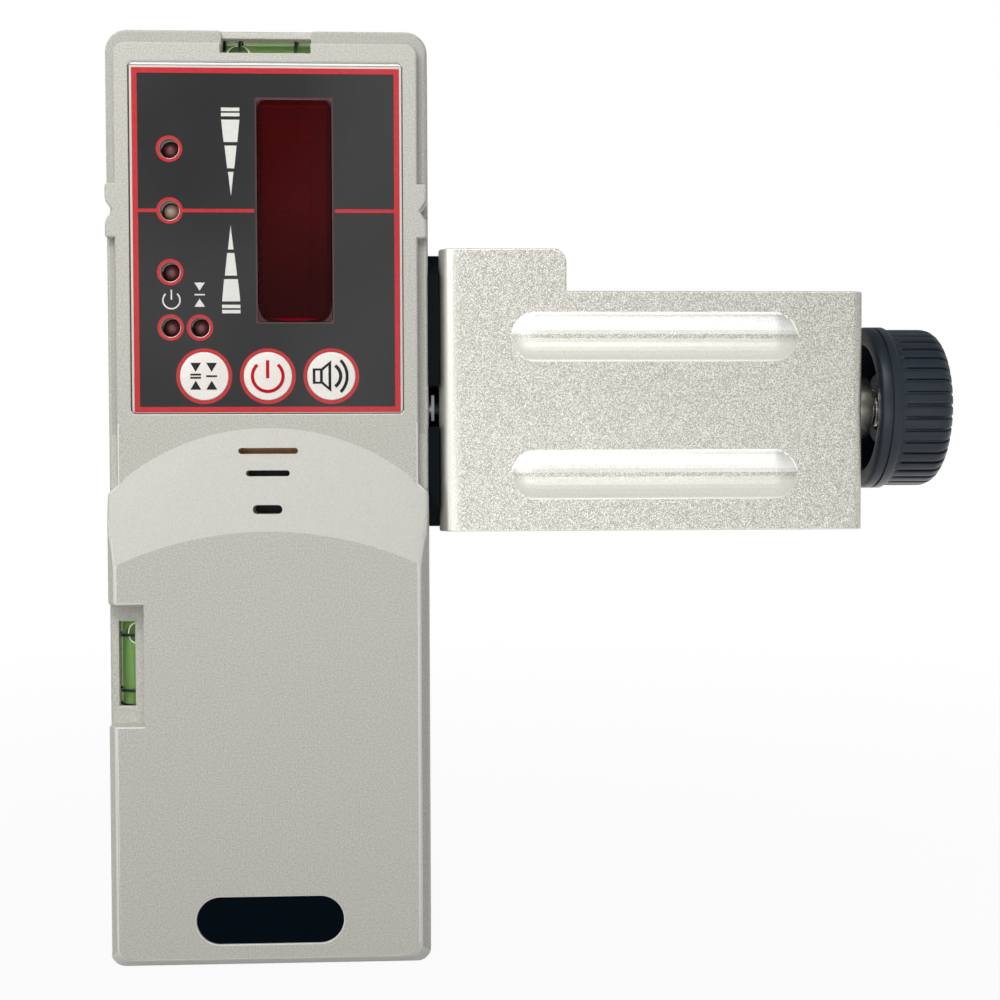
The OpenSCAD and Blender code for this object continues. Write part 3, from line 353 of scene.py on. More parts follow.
# Painted shade and highlights in the keypad recess: its side walls and the deeper part of its
# bottom wall are painted dark as shade, its top wall and the front of its lower lip near white as
# highlights.
bay_x, bay_z, bay_front, bay_lean = 25.4, (101.2, 166.3), -11.96, -0.97
panel_bay = (abs(case_x) < bay_x) * case_z.between(*bay_z)
bay_wall = panel_bay * (case_y > bay_front) * (front_lean > bay_lean)
shade_lean, lip_lean, lip_y = 0.3, 0.2, -11.85
bay_painted_shade = (bay_wall * (abs(side_lean) > shade_lean)
           + bay_wall * (up_lean > shade_lean) * (case_y > lip_y))
bay_painted_highlight = bay_wall * (up_lean < -lip_lean) + bay_wall * (up_lean > lip_lean) * (case_y < lip_y)
highlight_white = paint(248, 248, 244)
band_light_cover, edge_highlight_cover, base_highlight_cover, cloud_cover = 0.6, 0.75, 0.7, 0.3
case_finish.feed(
    Base_Color=case_finish.layers(
        case_finish.blend(speck, paint(180, 179, 170), paint(214, 212, 203)),
        (band_painted_light * band_light_cover, paint(222, 222, 215)),
        (ledge_painted_shade, case_finish.blend(speck, paint(158, 157, 150), paint(192, 190, 182))),
        (edge_painted_highlight * (1 - band_painted_light) * edge_highlight_cover, highlight_white),
        (base_painted_highlight * base_highlight_cover, paint(240, 240, 235)),
        (bay_painted_shade, paint(70, 60, 61)),
        (bay_painted_highlight, highlight_white),
        (cloud * cloud_cover, paint(196, 196, 188)),
    ),
    Roughness=sand * 0.2 + 0.42,
    Normal=case_finish.relief(sand, 0.04),
)
eased("rear_case", "rear_shell", rear_edge, case_finish, "receiver")
eased("front_case", "front_shell", front_edge, case_finish, "receiver")

# Gasket and screws: a black rubber cord in the parting plane, six zinc-plated screws driven
# from the back into the front half's bosses, and four smaller ones that hold the board.
def grained(name, size, detail, dark, light, roughness, bump=0, **constants):
    """A finish with one grain that varies its tone, its roughness and its relief in mm."""
    finish = Finish(name, **constants)
    grain = finish.grain(size, detail)
    smooth, rough = roughness
    finish.feed(Base_Color=finish.blend(grain, paint(*dark), paint(*light)),
                Roughness=grain * (rough - smooth) + smooth)
    if bump:
        finish.feed(Normal=finish.relief(grain, bump))
    return finish


def dress(finish, *nodes):
    """Gives CAD nodes that stay as they are a better finish."""
    for node in nodes:
        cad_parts[node].material_slots[0].material = finish.material


rubber = grained("black_rubber", 0.5, 3, (3, 8, 12), (9, 14, 18), (0.5, 0.75), 0.03,
                 Specular_IOR_Level=0.06)
steel = grained("zinc_plated_steel", 0.6, 3, (176, 177, 176), (214, 214, 210), (0.2, 0.4),
                Metallic=1.0)
dress(rubber, "shell_gasket")
dress(steel, "case_screws", "board_screws")

# Battery bay: a nine-volt block with a bare metal end on its snap clip, closed by a hinged
# door in the case's own plastic with grip grooves moulded into its free end.
battery_finish = Finish("battery_jacket", Metallic=0.6)
jacket_grain = battery_finish.grain(3, 3)
jacket_top = 55.5
battery_finish.feed(
    Base_Color=battery_finish.blend(
        battery_finish.along("Z") > jacket_top,
        battery_finish.blend(jacket_grain, paint(38, 40, 44), paint(56, 58, 62)),
        battery_finish.blend(jacket_grain, paint(186, 186, 182), paint(204, 203, 198)),
    ),
    Roughness=jacket_grain * 0.15 + 0.28,
)
dress(battery_finish, "battery")
electronics = grained("component_black", 0.35, 2, (24, 24, 26), (44, 44, 46), (0.4, 0.65), 0.01,
                      Specular_IOR_Level=0.5)
dress(electronics, "battery_clip", "tact_switches", "photodiodes", "board_chips")
door_face, door_round = 11.2, 0.3


def door_edge(x, y, z, convex):
    return door_round if convex and y > door_face else 0


eased("bay_door", "battery_door", door_edge, case_finish, "door")

# Circuit board: green glass-fibre laminate with faint copper runs under the solder
# mask, screwed to the front half's posts.
board = Finish("green_board", Specular_IOR_Level=0.5)
runs = board.node("ShaderNodeTexWave", {"wave_type": "BANDS", "bands_direction": "X"},
                  {"Vector": board.place, "Scale": 180.0, "Distortion": 6.0, "Detail": 1.0})
board.feed(
    Base_Color=board.blend(runs > 0.7, paint(24, 78, 48), paint(44, 108, 64)),
    Roughness=runs * 0.1 + 0.28,
)
dress(board, "main_board")

# Sounder and insert: a brass disc glued behind the sound slots, painted black below the
# first slot as the shade inside the lower slots, and the brass threaded insert in the side
# wall that takes the fixing screw.
brass_dark, brass_light, brass_grain = (150, 104, 66), (184, 136, 88), (0.8, 3)
brass = grained("brass", *brass_grain, brass_dark, brass_light, (0.25, 0.45), Metallic=1.0)
dress(brass, "mount_insert")
disc_finish = Finish("sounder_disc", Metallic=0.3)
disc_grain = disc_finish.grain(*brass_grain)
disc_brass = disc_finish.blend(disc_grain, paint(*brass_dark), paint(*brass_light))
# Painted shade: the disc is black below the first slot.
slot_shade_top = 93.2
disc_finish.feed(
    Base_Color=disc_finish.blend(
        disc_finish.along("Z") < slot_shade_top, disc_brass, paint(16, 15, 15)),
    Roughness=disc_grain * 0.2 + 0.5,
)
dress(disc_finish, "sounder")

# Signal and status lamps: domed epoxy bodies on the board, dark red when off; the
# middle one is a paler water-clear lamp.
sight_z, lamp_reach = 138.8, 3
lamp_finish = Finish("lamp_epoxy", Roughness=0.45)
lamp_cloud = lamp_finish.grain(0.7)
lamp_finish.feed(Base_Color=lamp_finish.blend(
    abs(lamp_finish.along("Z") - sight_z) < lamp_reach,
    lamp_finish.blend(lamp_cloud, paint(82, 34, 38), paint(102, 50, 53)),
    lamp_finish.blend(lamp_cloud, paint(176, 152, 138), paint(146, 122, 108)),
))
dress(lamp_finish, "signal_lamps", "status_lamps")

# Spirit vials: clear acrylic tubes with green fluid and two printed rings, clipped in
# the top notch and the left pocket. Each bubble shows as a capsule with a white line round
# it, a painted highlight.
top_vial, side_vial = (0, -4.9, 167.9), (-25.3, -7.05, 55.8)
bore_r, between_vials = 2.4, 100
tube_finish = Finish("clear_acrylic", Transmission_Weight=1.0, IOR=1.02, Specular_IOR_Level=0.3)
tube_haze = tube_finish.grain(2.5)
tube_x, tube_z = tube_finish.along("X"), tube_finish.along("Z")
side_wall = (tube_z < between_vials) * (abs(tube_x - side_vial[0]) > bore_r)
top_wall = (tube_z > between_vials) * (abs(tube_z - top_vial[2]) > bore_r)
tube_tint = tube_finish.blend(tube_haze, paint(206, 220, 190), paint(216, 228, 202))
tube_finish.feed(
    Base_Color=tube_finish.blend(side_wall + top_wall, tube_tint, paint(146, 162, 130)),
    Roughness=tube_haze * 0.06,
)
fluid_finish = grained("green_vial_fluid", 4, 2, (164, 190, 144), (182, 206, 160), (0.3, 0.4),
                       Transmission_Weight=0.35, IOR=1.05, Specular_IOR_Level=0.2)
ring_finish = grained("vial_ring_ink", 0.3, 2, (14, 22, 22), (30, 38, 36), (0.4, 0.6),
                      Specular_IOR_Level=0.2)
bubble_finish = grained("vial_bubble", 1.2, 2, (104, 122, 92), (122, 138, 106), (0.2, 0.3),
                        Specular_IOR_Level=0.3)
# Painted highlight: a near-white coated line stands for the bright rim of each bubble.
painted_rim_highlight_finish = grained("bubble_rim_painted_highlight", 0.6, 2, (240, 243, 236), (252, 253, 250), (0.1, 0.2),
                         Coat_Weight=1.0)
dress(tube_finish, "top_vial_tube", "side_vial_tube")
dress(fluid_finish, "top_vial_fluid", "side_vial_fluid")
dress(ring_finish, "top_vial_rings", "side_vial_rings")


def shape_mesh(name, points, faces, smooth=True):
    """A mesh from points in millimetres."""
    mesh = bpy.data.meshes.new(name)
    mesh.from_pydata([Vector(point) * mm for point in points], [], faces)
    work = bmesh.new()
    work.from_mesh(mesh)
    bmesh.ops.recalc_face_normals(work, faces=work.faces)
    for face in work.faces:
        face.smooth = smooth
    work.to_mesh(mesh)
    work.free()
    return mesh


fluid_face_r, bubble_depth, bubble_rings = 2.58, 0.2, (0.35, 0.7, 1.0)
outline_r, outline_steps, outline_sides, just_outside = 0.14, 48, 8, 1.05


def add_bubble(name, vial, upright, centre, half):
    """The bubble's face against the tube's bore, and a white line round its edge, a painted
    highlight.
    """

    def on_fluid(x, z, lift=0):
        off = x - vial[0] if upright else z - vial[2]
        bulge = math.sqrt(max(0, fluid_face_r ** 2 - off ** 2))
        return Vector((x, vial[1] - bulge - lift, z))

    def oval(size, turn):
        return (centre[0] + half[0] * size * math.cos(turn),
                centre[1] + half[1] * size * math.sin(turn))

    turns = [math.tau * i / outline_steps for i in range(outline_steps)]
    pairs = [(i, (i + 1) % outline_steps) for i in range(outline_steps)]
    points, faces = [], []
    for lift in (0, -bubble_depth):
        points.append(on_fluid(*centre, lift))
        for size in bubble_rings:
            points += [on_fluid(*oval(size, turn), lift) for turn in turns]
    layer = 1 + len(bubble_rings) * outline_steps
    for base in (0, layer):
        for i, j in pairs:
            faces.append((base, base + 1 + i, base + 1 + j))
            for ring in range(len(bubble_rings) - 1):
                low = base + 1 + ring * outline_steps
                high = low + outline_steps
                faces.append((low + i, high + i, high + j, low + j))
    rim = layer - outline_steps
    faces += [(rim + i, layer + rim + i, layer + rim + j, rim + j) for i, j in pairs]
    add_piece(name, shape_mesh(name, points, faces), bubble_finish, "receiver")

    points, faces = [], []
    forward = Vector((0, -1, 0))
    for turn in turns:
        here = on_fluid(*oval(1, turn))
        out = (on_fluid(*oval(just_outside, turn)) - here).normalized()
        for side in range(outline_sides):
            angle = math.tau * side / outline_sides
            points.append(here + (out * math.cos(angle) + forward * math.sin(angle)) * outline_r)
    for i, j in pairs:
        for side in range(outline_sides):
            after = (side + 1) % outline_sides
            faces.append((i * outline_sides + side, j * outline_sides + side,
                          j * outline_sides + after, i * outline_sides + after))
    line_name = name + "_outline"
    add_piece(line_name, shape_mesh(line_name, points, faces), painted_rim_highlight_finish, "receiver")


add_bubble("top_bubble", top_vial, False, (-5.4, 167.9), (2.1, 2.1))
add_bubble("side_bubble", side_vial, True, (-24.7, 61.3), (1.6, 1.9))

# Keypad: a clear cover sheet over a gloss black backing, with a printed red border, red
# rings and line, and white arrows and signs, let into the front half's recess.
panel_front, below_front = -11.7, -11.69
border_x, border_low, border_high = 24.3, 102.0, 164.7
border_mid, border_half = (border_low + border_high) / 2, (border_high - border_low) / 2
panel_finish = Finish("gloss_black_keypad", Specular_IOR_Level=0.5)
panel_cloud = panel_finish.grain(14, 3)
panel_x, panel_y, panel_z = [panel_finish.along(axis) for axis in "XYZ"]
panel_up, panel_side = panel_finish.facing("Z"), panel_finish.facing("X")
covered = (abs(panel_x) < border_x) * (abs(panel_z - border_mid) < border_half)
holes_x, window_left, openings_low = -10, -5, 115
hole_side = (panel_x < holes_x) * (panel_z > openings_low) * (panel_y > below_front)
# Painted highlight: a near-white crescent on the lower right of each lamp hole's rounded edge.
highlight_y, highlight_lean = -11.25, 0.55
hole_painted_highlight = hole_side * (panel_y < highlight_y) * (panel_up - panel_side > highlight_lean)
# Painted highlight: a pink line on the downward-facing top edge of the window opening.
window_top_lean = -0.3
window_painted_highlight = (panel_x > window_left) * (panel_z > openings_low) * (
    panel_y > below_front) * (panel_up < window_top_lean)
# Painted shade and highlight on the keypad sheet's clear rim: a dark line under a near-white line
# along its top edge, and a dark line along its bottom edge as the shade of the gap.
rim_painted_shade_z, rim_painted_highlight_z, rim_gap_painted_shade_z = 165.08, 165.22, 101.87
panel_finish.feed(
    Base_Color=panel_finish.blend(
        covered,
        panel_finish.layers(
            panel_finish.blend(panel_cloud, paint(206, 204, 198), paint(226, 224, 218)),
            (panel_z > rim_painted_shade_z, paint(128, 120, 112)),
            (panel_z > rim_painted_highlight_z, paint(250, 250, 247)),
            (panel_z < rim_gap_painted_shade_z, paint(64, 55, 56)),
        ),
        panel_finish.layers(
            panel_finish.blend(panel_cloud, paint(14, 15, 17), paint(27, 28, 30)),
            (hole_side, paint(176, 128, 122)),
            (hole_painted_highlight, paint(240, 232, 226)),
            (window_painted_highlight, paint(226, 128, 138)),
        ),
    ),
    Roughness=panel_cloud * 0.1 + 0.06,
    Normal=panel_finish.relief(panel_cloud, 0.05),
)
sheet_face, sheet_round, hole_round, holes_left = -11.5, 0.15, 0.28, -20


def panel_edge(x, y, z, convex):
    if not convex or y > sheet_face:
        return 0
    return hole_round if holes_left < x < holes_x and z > openings_low else sheet_round


eased("keypad_panel", "front_panel", panel_edge, panel_finish, "receiver")
film_sunk, film_thick = 0.01, 0.05


def ink(name, dark, light, gloss=0.5):
    """A printing ink with a slight unevenness under the gloss."""
    return grained(name, 0.8, 3, dark, light, (0.15, 0.3),
                   Specular_IOR_Level=gloss, Coat_Weight=gloss)


def bar(x0, z0, x1, z1):
    return [(x0, z0), (x1, z0), (x1, z1), (x0, z1)]


def arc(x, z, inner, outer, start=0, end=360, steps=48):
    """Quads of a ring or part of one, angles in degrees from the right."""
    turns = [math.radians(start + (end - start) * i / steps) for i in range(steps + 1)]
    ring = [(math.cos(turn), math.sin(turn)) for turn in turns]
    return [[(x + inner * a[0], z + inner * a[1]), (x + outer * a[0], z + outer * a[1]),
             (x + outer * b[0], z + outer * b[1]), (x + inner * b[0], z + inner * b[1])]
            for a, b in zip(ring, ring[1:])]


def on_panel(x, z):
    return panel_front


def printed(name, shapes, finish, body="receiver", surface=on_panel, cut_step=None):
    """A thin printed film of flat shapes (x, z), draped on a surface in steps if it is domed."""
    work = bmesh.new()
    for shape in shapes:
        work.faces.new([work.verts.new((x * mm, 0, z * mm)) for x, z in shape])
    bmesh.ops.remove_doubles(work, verts=work.verts, dist=weld_gap)
    for axis in (0, 2) if cut_step else ():
        low = min(vert.co[axis] for vert in work.verts)
        high = max(vert.co[axis] for vert in work.verts)
        for i in range(1, int((high - low) / (cut_step * mm)) + 1):
            point, normal = [0, 0, 0], [0, 0, 0]
            point[axis], normal[axis] = low + i * cut_step * mm, 1
            bmesh.ops.bisect_plane(work, geom=work.verts[:] + work.edges[:] + work.faces[:],
                                   plane_co=point, plane_no=normal)
    for vert in work.verts:
        vert.co.y = (surface(vert.co.x / mm, vert.co.z / mm) + film_sunk) * mm
    raised = bmesh.ops.extrude_face_region(work, geom=work.faces[:], use_keep_orig=True)["geom"]
    for vert in raised:
        if isinstance(vert, bmesh.types.BMVert):
            vert.co.y -= film_thick * mm
    bmesh.ops.recalc_face_normals(work, faces=work.faces)
    in_order = sorted(work.faces, key=lambda face: face.calc_center_median()[:])
    for i, face in enumerate(in_order):
        face.index = i
    work.faces.sort()
    mesh = bpy.data.meshes.new(name)
    work.to_mesh(mesh)
    work.free()
    add_piece(name, mesh, finish, body)


red_ink = ink("red_ink", (184, 18, 28), (210, 36, 44), 0.35)
white_ink = ink("white_ink", (221, 221, 213), (238, 238, 231))
border_w = 1.0
inner_x = border_x - border_w
printed("red_border", [
    bar(-border_x, border_low, -inner_x, border_high),
    bar(inner_x, border_low, border_x, border_high),
    bar(-inner_x, border_low, inner_x, border_low + border_w),
    bar(-inner_x, border_high - border_w, inner_x, border_high),
], red_ink)
lamp_x, lamp_hole_r, lamp_ring_r = -17.6, 1.88, 2.4
line_low, line_high, line_stop, line_restart = sight_z - 0.32, sight_z + 0.32, -2.26, 12.45
printed("red_sight_line", [
    bar(-inner_x, line_low, lamp_x - lamp_ring_r, line_high),
    bar(lamp_x + lamp_ring_r, line_low, line_stop, line_high),
    bar(line_restart, line_low, inner_x, line_high),
], red_ink)
status_z, status_x = 117.5, -12.3
rings = []
for x, z in ((lamp_x, 150.0), (lamp_x, sight_z), (lamp_x, 127.6), (lamp_x, status_z),
             (status_x, status_z)):
    rings += arc(x, z, lamp_hole_r, lamp_ring_r)
key_xs, key_z, key_hole_r, key_ring_r, key_steps = (-11.6, 0.0, 11.6), 108.6, 4.5, 5.1, 64
for x in key_xs:
    rings += arc(x, key_z, key_hole_r, key_ring_r, steps=key_steps)
printed("red_rings", rings, red_ink)
window_x, window_half_w, window_half_h, smoke_w = 5.1, 6.85, 20.3, 0.27
smoked_ink = ink("smoked_red_ink", (52, 8, 14), (66, 12, 20))
smoke_left, smoke_right = window_x - window_half_w - smoke_w, window_x + window_half_w + smoke_w
smoke_low, smoke_high = sight_z - window_half_h - smoke_w, sight_z + window_half_h + smoke_w
open_left, open_right = window_x - window_half_w, window_x + window_half_w
printed("window_print_edge", [
    bar(smoke_left, smoke_low, open_left, smoke_high),
    bar(open_right, smoke_low, smoke_right, smoke_high),
    bar(open_left, smoke_low, open_right, sight_z - window_half_h),
    bar(open_left, sight_z + window_half_h, open_right, smoke_high),
], smoked_ink)
arrow_rows = ((18.06, 18.7, 1.67, 1.67), (17.13, 17.75, 1.67, 1.67),
              (12.46, 16.51, 1.25, 1.65), (7.7, 11.81, 0.65, 1.1))
tip_low, tip_high, tip_half = 2.65, 7.05, 0.5


def arrow(x, end):
    """An arrow in five pieces that points at the sight line from above (1) or below (-1)."""
    shapes = []
    for low, high, low_half, high_half in arrow_rows:
        z0, z1 = sight_z + end * low, sight_z + end * high
        shapes.append([(x - low_half, z0), (x + low_half, z0),
                       (x + high_half, z1), (x - high_half, z1)])
    wide = sight_z + end * tip_high
    return shapes + [[(x, sight_z + end * tip_low), (x + tip_half, wide), (x - tip_half, wide)]]


printed("white_arrows", arrow(-6.45, 1) + arrow(-6.57, -1), white_ink)
sign_start, sign_end, sign_steps, tip_share = 132, 408, 36, 0.33


def power_sign(x, z, radius, line, top, low):
    """A ring that is open at the top, and a bar in the opening."""
    return arc(x, z, radius - line, radius, sign_start, sign_end, sign_steps) + [
        bar(x - line / 2, z + low, x + line / 2, z + top)]


def level_sign(x, z, half, tall, bars, bar_half):
    """A triangle pointing down, one or two bars, and a triangle pointing up."""
    tip = tall * tip_share
    sign = [[(x - half, z + tall), (x + half, z + tall), (x, z + tip)],
            [(x - half, z - tall), (x, z - tip), (x + half, z - tall)]]
    for rise in bars:
        sign.append(bar(x - half, z + rise - bar_half, x + half, z + rise + bar_half))
    return sign


printed("white_signs", power_sign(-17.42, 122.49, 1.68, 0.26, 1.9, 0.1)
        + level_sign(status_x, 123.5, 0.95, 2.2, (0,), 0.12), white_ink)

# Detector window: a dark red acrylic filter behind the keypad's opening, darker low down
# and smoked in its corners, with the photodiodes on the board behind it. A red line along
# its lower edge is a painted highlight.
filter_finish = Finish("dark_red_filter", Transmission_Weight=0.92, IOR=1.15,
                       Specular_IOR_Level=0.3)
filter_cloud = filter_finish.grain(10)
lower_shade = filter_finish.ramp(filter_finish.along("Z"), 138.0, 126.0, 0.0, 0.7)
filter_finish.feed(
    Base_Color=filter_finish.layers(
        filter_finish.blend(filter_cloud, paint(150, 6, 18), paint(172, 9, 26)),
        (lower_shade, paint(114, 4, 14)),
    ),
    Roughness=filter_cloud * 0.06 + 0.02,
)
filter_face, filter_round = -11, 0.15


def window_edge(x, y, z, convex):
    return filter_round if convex and y < filter_face else 0


eased("window_filter", "detector_window", window_edge, filter_finish, "receiver")
filter_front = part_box("detector_window")[0][1] / mm
corner_ink = ink("smoked_corner_ink", (62, 26, 31), (78, 36, 41), 0.2)
edge_highlight_ink = ink("filter_edge_painted_highlight", (108, 5, 18), (128, 9, 25), 0.0)
filter_half_w, filter_half_h, corner_steps, film_step = 6.75, 20.2, 8, 0.6


def on_filter(x, z):
    return filter_front


corners = []
for end, round_w, round_h in ((1, 1.5, 1.7), (-1, 2.1, 3.4)):
    for hand in (1, -1):
        tip_x, tip_z = window_x + hand * filter_half_w, sight_z + end * filter_half_h
        curve = []
        for i in range(corner_steps + 1):
            turn = math.pi / 2 * i / corner_steps
            curve.append((tip_x - hand * round_w * (1 - math.cos(turn)),
                          tip_z - end * round_h * (1 - math.sin(turn))))
        corners += [[(tip_x, tip_z), here, after] for here, after in zip(curve, curve[1:])]
printed("window_corners", corners, corner_ink, surface=on_filter, cut_step=film_step)
# Painted highlight: a curved red strip along the filter's lower edge, as if catching the light.
edge_highlight_half, edge_highlight_steps, edge_highlight_high, edge_highlight_low, edge_highlight_drop = 4.4, 12, 0.61, 0.57, 0.45
filter_low = sight_z - filter_half_h
edge_highlight_curve = []
for i in range(edge_highlight_steps + 1):
    share = 2 * i / edge_highlight_steps - 1
    sag = edge_highlight_drop * (1 - share ** 2)
    edge_highlight_curve.append((window_x + edge_highlight_half * share, filter_low + edge_highlight_low - sag))
glow = []
for (x0, z0), (x1, z1) in zip(edge_highlight_curve, edge_highlight_curve[1:]):
    glow.append([(x0, filter_low + edge_highlight_high), (x0, z0), (x1, z1), (x1, filter_low + edge_highlight_high)])
printed("window_edge_painted_highlight", glow, edge_highlight_ink, surface=on_filter, cut_step=film_step)

# Keys: three white domed caps in satin plastic with printed signs, each with a flange behind
# the keypad's hole and its own switch on the board.
key_finish = grained("white_key_plastic", 0.6, 3, (232, 227, 219), (250, 246, 239),
                     (0.3, 0.45), 0.008, Specular_IOR_Level=0.5, Coat_Weight=0.2)
dome_r, dome_pole = 24.95, -12.2
cap_r, cap_round, cap_round_steps, cap_sharp = 4.45, 0.22, 4, math.radians(40)
flange_r, flange_y, cap_back, cap_mid, back_r, burr = 5.25, -9.28, -8.58, -10.5, 2.5, 0.02


def turned(profile, count, place):
    """Points and faces of a closed turning: profile of (along, radius) from axis to axis."""
    points = [place(profile[0][0], 0, 0)]
    for along, radius in profile[1:-1]:
        points += [place(along, radius, math.tau * i / count) for i in range(count)]
    points.append(place(profile[-1][0], 0, 0))
    rows = len(profile) - 2
    faces = [(0, 1 + i, 1 + (i + 1) % count) for i in range(count)]
    for row in range(rows - 1):
        here = 1 + row * count
        for i in range(count):
            j = (i + 1) % count
            faces.append((here + i, here + count + i, here + count + j, here + j))
    last = 1 + (rows - 1) * count
    faces += [(last + i, len(points) - 1, last + (i + 1) % count) for i in range(count)]
    return points, faces


def dome(off):
    return dome_pole + dome_r - math.sqrt(dome_r ** 2 - off ** 2)


cap_profile = [(dome_pole, 0)] + [(dome(r), r) for r in (0.6, 1.2, 1.8, 2.4, 3.0, 3.6, 4.0)]
for step in range(cap_round_steps + 1):
    turn = math.pi / 2 * step / cap_round_steps
    cap_profile.append((dome(cap_r - cap_round) + cap_round * (1 - math.cos(turn)),
                        cap_r - cap_round + cap_round * math.sin(turn)))
cap_profile += [
    (cap_mid, cap_r), (flange_y - burr, cap_r), (flange_y, cap_r + burr),
    (flange_y, flange_r - burr), (flange_y + burr, flange_r), (cap_back - burr, flange_r),
    (cap_back, flange_r - burr), (cap_back, back_r), (cap_back, 0),
]

key_black_ink = ink("key_black_ink", (44, 44, 46), (60, 60, 62), 0.0)
key_red_ink = ink("key_red_ink", (188, 24, 42), (204, 38, 54), 0.0)
speaker, speaker_line, speaker_end, speaker_joint = [], 0.38, 0.5, 0.26
for x0, x1, z0, z1, left, right in (
        (-3.4, -1.8, 1.4, 1.4, speaker_end, speaker_joint),
        (-1.8, 0.0, 1.4, 2.9, speaker_joint, speaker_end)):
    outside = [(x0, -z0), (x1, -z1), (x1, z1), (x0, z0)]
    slant = speaker_line * (1 + z1 - z0)
    inside = [(x0 + left, -z0 + speaker_line), (x1 - right, -z1 + slant),
              (x1 - right, z1 - slant), (x0 + left, z0 - speaker_line)]
    for i in range(4):
        j = (i + 1) % 4
        speaker.append([outside[i], outside[j], inside[j], inside[i]])
sound_waves = ((-0.57, 2.0, 2.6, 56, 16), (-1.22, 3.85, 4.4, 45, 20))
for x, inner, outer, spread, steps in sound_waves:
    speaker += arc(x, 0, inner, outer, -spread, spread, steps)
fine_bars, coarse_bar, sign_half, sign_tall, bar_half = (-0.29, 0.29), (0,), 0.98, 2.45, 0.17
key_signs = {
    "accuracy": (level_sign(-1.5, 0, sign_half, sign_tall, fine_bars, bar_half)
                 + level_sign(1.4, 0, sign_half, sign_tall, coarse_bar, bar_half), key_black_ink),
    "power": (power_sign(0, 0, 3.1, 0.6, 2.9, -0.4), key_red_ink),
    "volume": (speaker, key_black_ink),
}
for key_x, (name, (sign, sign_ink)) in zip(key_xs, key_signs.items()):

    def on_cap(y, radius, angle):
        return (key_x + radius * math.cos(angle), y, key_z + radius * math.sin(angle))

    def cap_front(x, z):
        return dome(math.hypot(x - key_x, z - key_z))

    cap_mesh = shape_mesh(name + "_key_cap", *turned(cap_profile, key_steps, on_cap))
    cap_mesh.set_sharp_from_angle(angle=cap_sharp)
    cap = add_piece(name + "_key_cap", cap_mesh, key_finish, name + "_key")
    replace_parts(cap, "key_" + name)
    placed = [[(key_x + x, key_z + z) for x, z in shape] for shape in sign]
    printed(name + "_key_sign", placed, sign_ink, name + "_key", cap_front, film_step)

# Badge: a blank gloss black plate glued in a rounded recess near the foot of the front,
# with lightly broken edges.
small_round = 0.15


def small_edge(x, y, z, convex):
    return small_round if convex else 0


badge_finish = grained("gloss_black_badge", 5, 3, (2, 10, 17), (6, 17, 26), (0.1, 0.22),
                       Specular_IOR_Level=0.01)
eased("badge", "badge_plate", small_edge, badge_finish, "receiver")

# Bracket: aluminium sheet with a bead-blasted clear-coated face, bent to a U with two
# pressed ribs; a rubber spacer and a screw hold it to the case's insert, and a rubber pad
# faces the staff. The left bend and the ribs' slopes carry painted highlights.
bracket_finish = Finish("blasted_aluminium", Metallic=0.8, Specular_IOR_Level=0.5)
sparkle = bracket_finish.grain(0.17, 1.0)
frost = bracket_finish.grain(1.6, 3)
glint = bracket_finish.ramp(sparkle, 0.4, 0.68)
bracket_x = bracket_finish.along("X")
# Painted highlight: the left bend is laid over in a light, smooth tone, as if catching light from
# the left.
bend_painted_highlight = bracket_finish.ramp(bracket_x, 33.4, 35.6, 1.0, 0.0)
# Painted highlight and sheen: the ribs' upward-facing slopes are laid over in near white, more
# strongly to the right, and their downward-facing slopes in a lighter smooth tone.
rib_front = -0.6
rib_lean = bracket_finish.facing("Z") * (bracket_finish.facing("Y") < rib_front)
rib_top_painted_highlight = bracket_finish.ramp(rib_lean, 0.02, 0.14, 0.0, 0.42)
rib_top_painted_highlight = rib_top_painted_highlight * bracket_finish.ramp(bracket_x, 60.0, 105.0, 1.0, 1.9)
rib_under_painted_sheen = bracket_finish.ramp(rib_lean, -0.02, -0.14, 0.0, 0.75)
bracket_finish.feed(
    Base_Color=bracket_finish.layers(
        bracket_finish.blend(glint, paint(150, 148, 140), paint(213, 212, 204)),
        (rib_top_painted_highlight, paint(246, 246, 242)),
        (rib_under_painted_sheen, paint(200, 199, 190)),
        (bend_painted_highlight * 0.8, paint(208, 208, 200)),
    ),
    Roughness=frost * 0.12 + 0.32,
    Normal=bracket_finish.relief(sparkle * (1 - bend_painted_highlight) * (1 - rib_under_painted_sheen), 0.06),
)
sheet_edge_round = 0.25


def bracket_edge(x, y, z, convex):
    return sheet_edge_round if convex else 0


eased("clamp_bracket", "bracket", bracket_edge, bracket_finish, "receiver")
eased("spacer_pad", "bracket_pad", small_edge, rubber, "receiver")
eased("staff_pad", "jaw_pad", small_edge, rubber, "receiver")
dress(steel, "fixing_screw")

# Fixing washers: a thin steel washer, a plated hexagon nut and a spring washer on the
# fixing screw, in the spacer pad's slot between the case and the bracket. The spring washer
# is painted dark as the shade in the slot.
axis_y, axis_z = 6.0, 103.1
stack_start, stack_bore, washer_r, nut_flat_r, groove_r = 29.4, 2.2, 4.9, 4.3, 3.5
stack_steps, nut_side = 48, math.radians(60)


def on_axis(x, radius, angle):
    return (x, axis_y + radius * math.cos(angle), axis_z + radius * math.sin(angle))


def on_stack(along, radius, angle):
    """The nut's rim is a hexagon with a flat to the front."""
    if radius == nut_flat_r:
        radius /= math.cos((angle + nut_side / 2) % nut_side - nut_side / 2)
    return on_axis(stack_start + along, radius, angle)


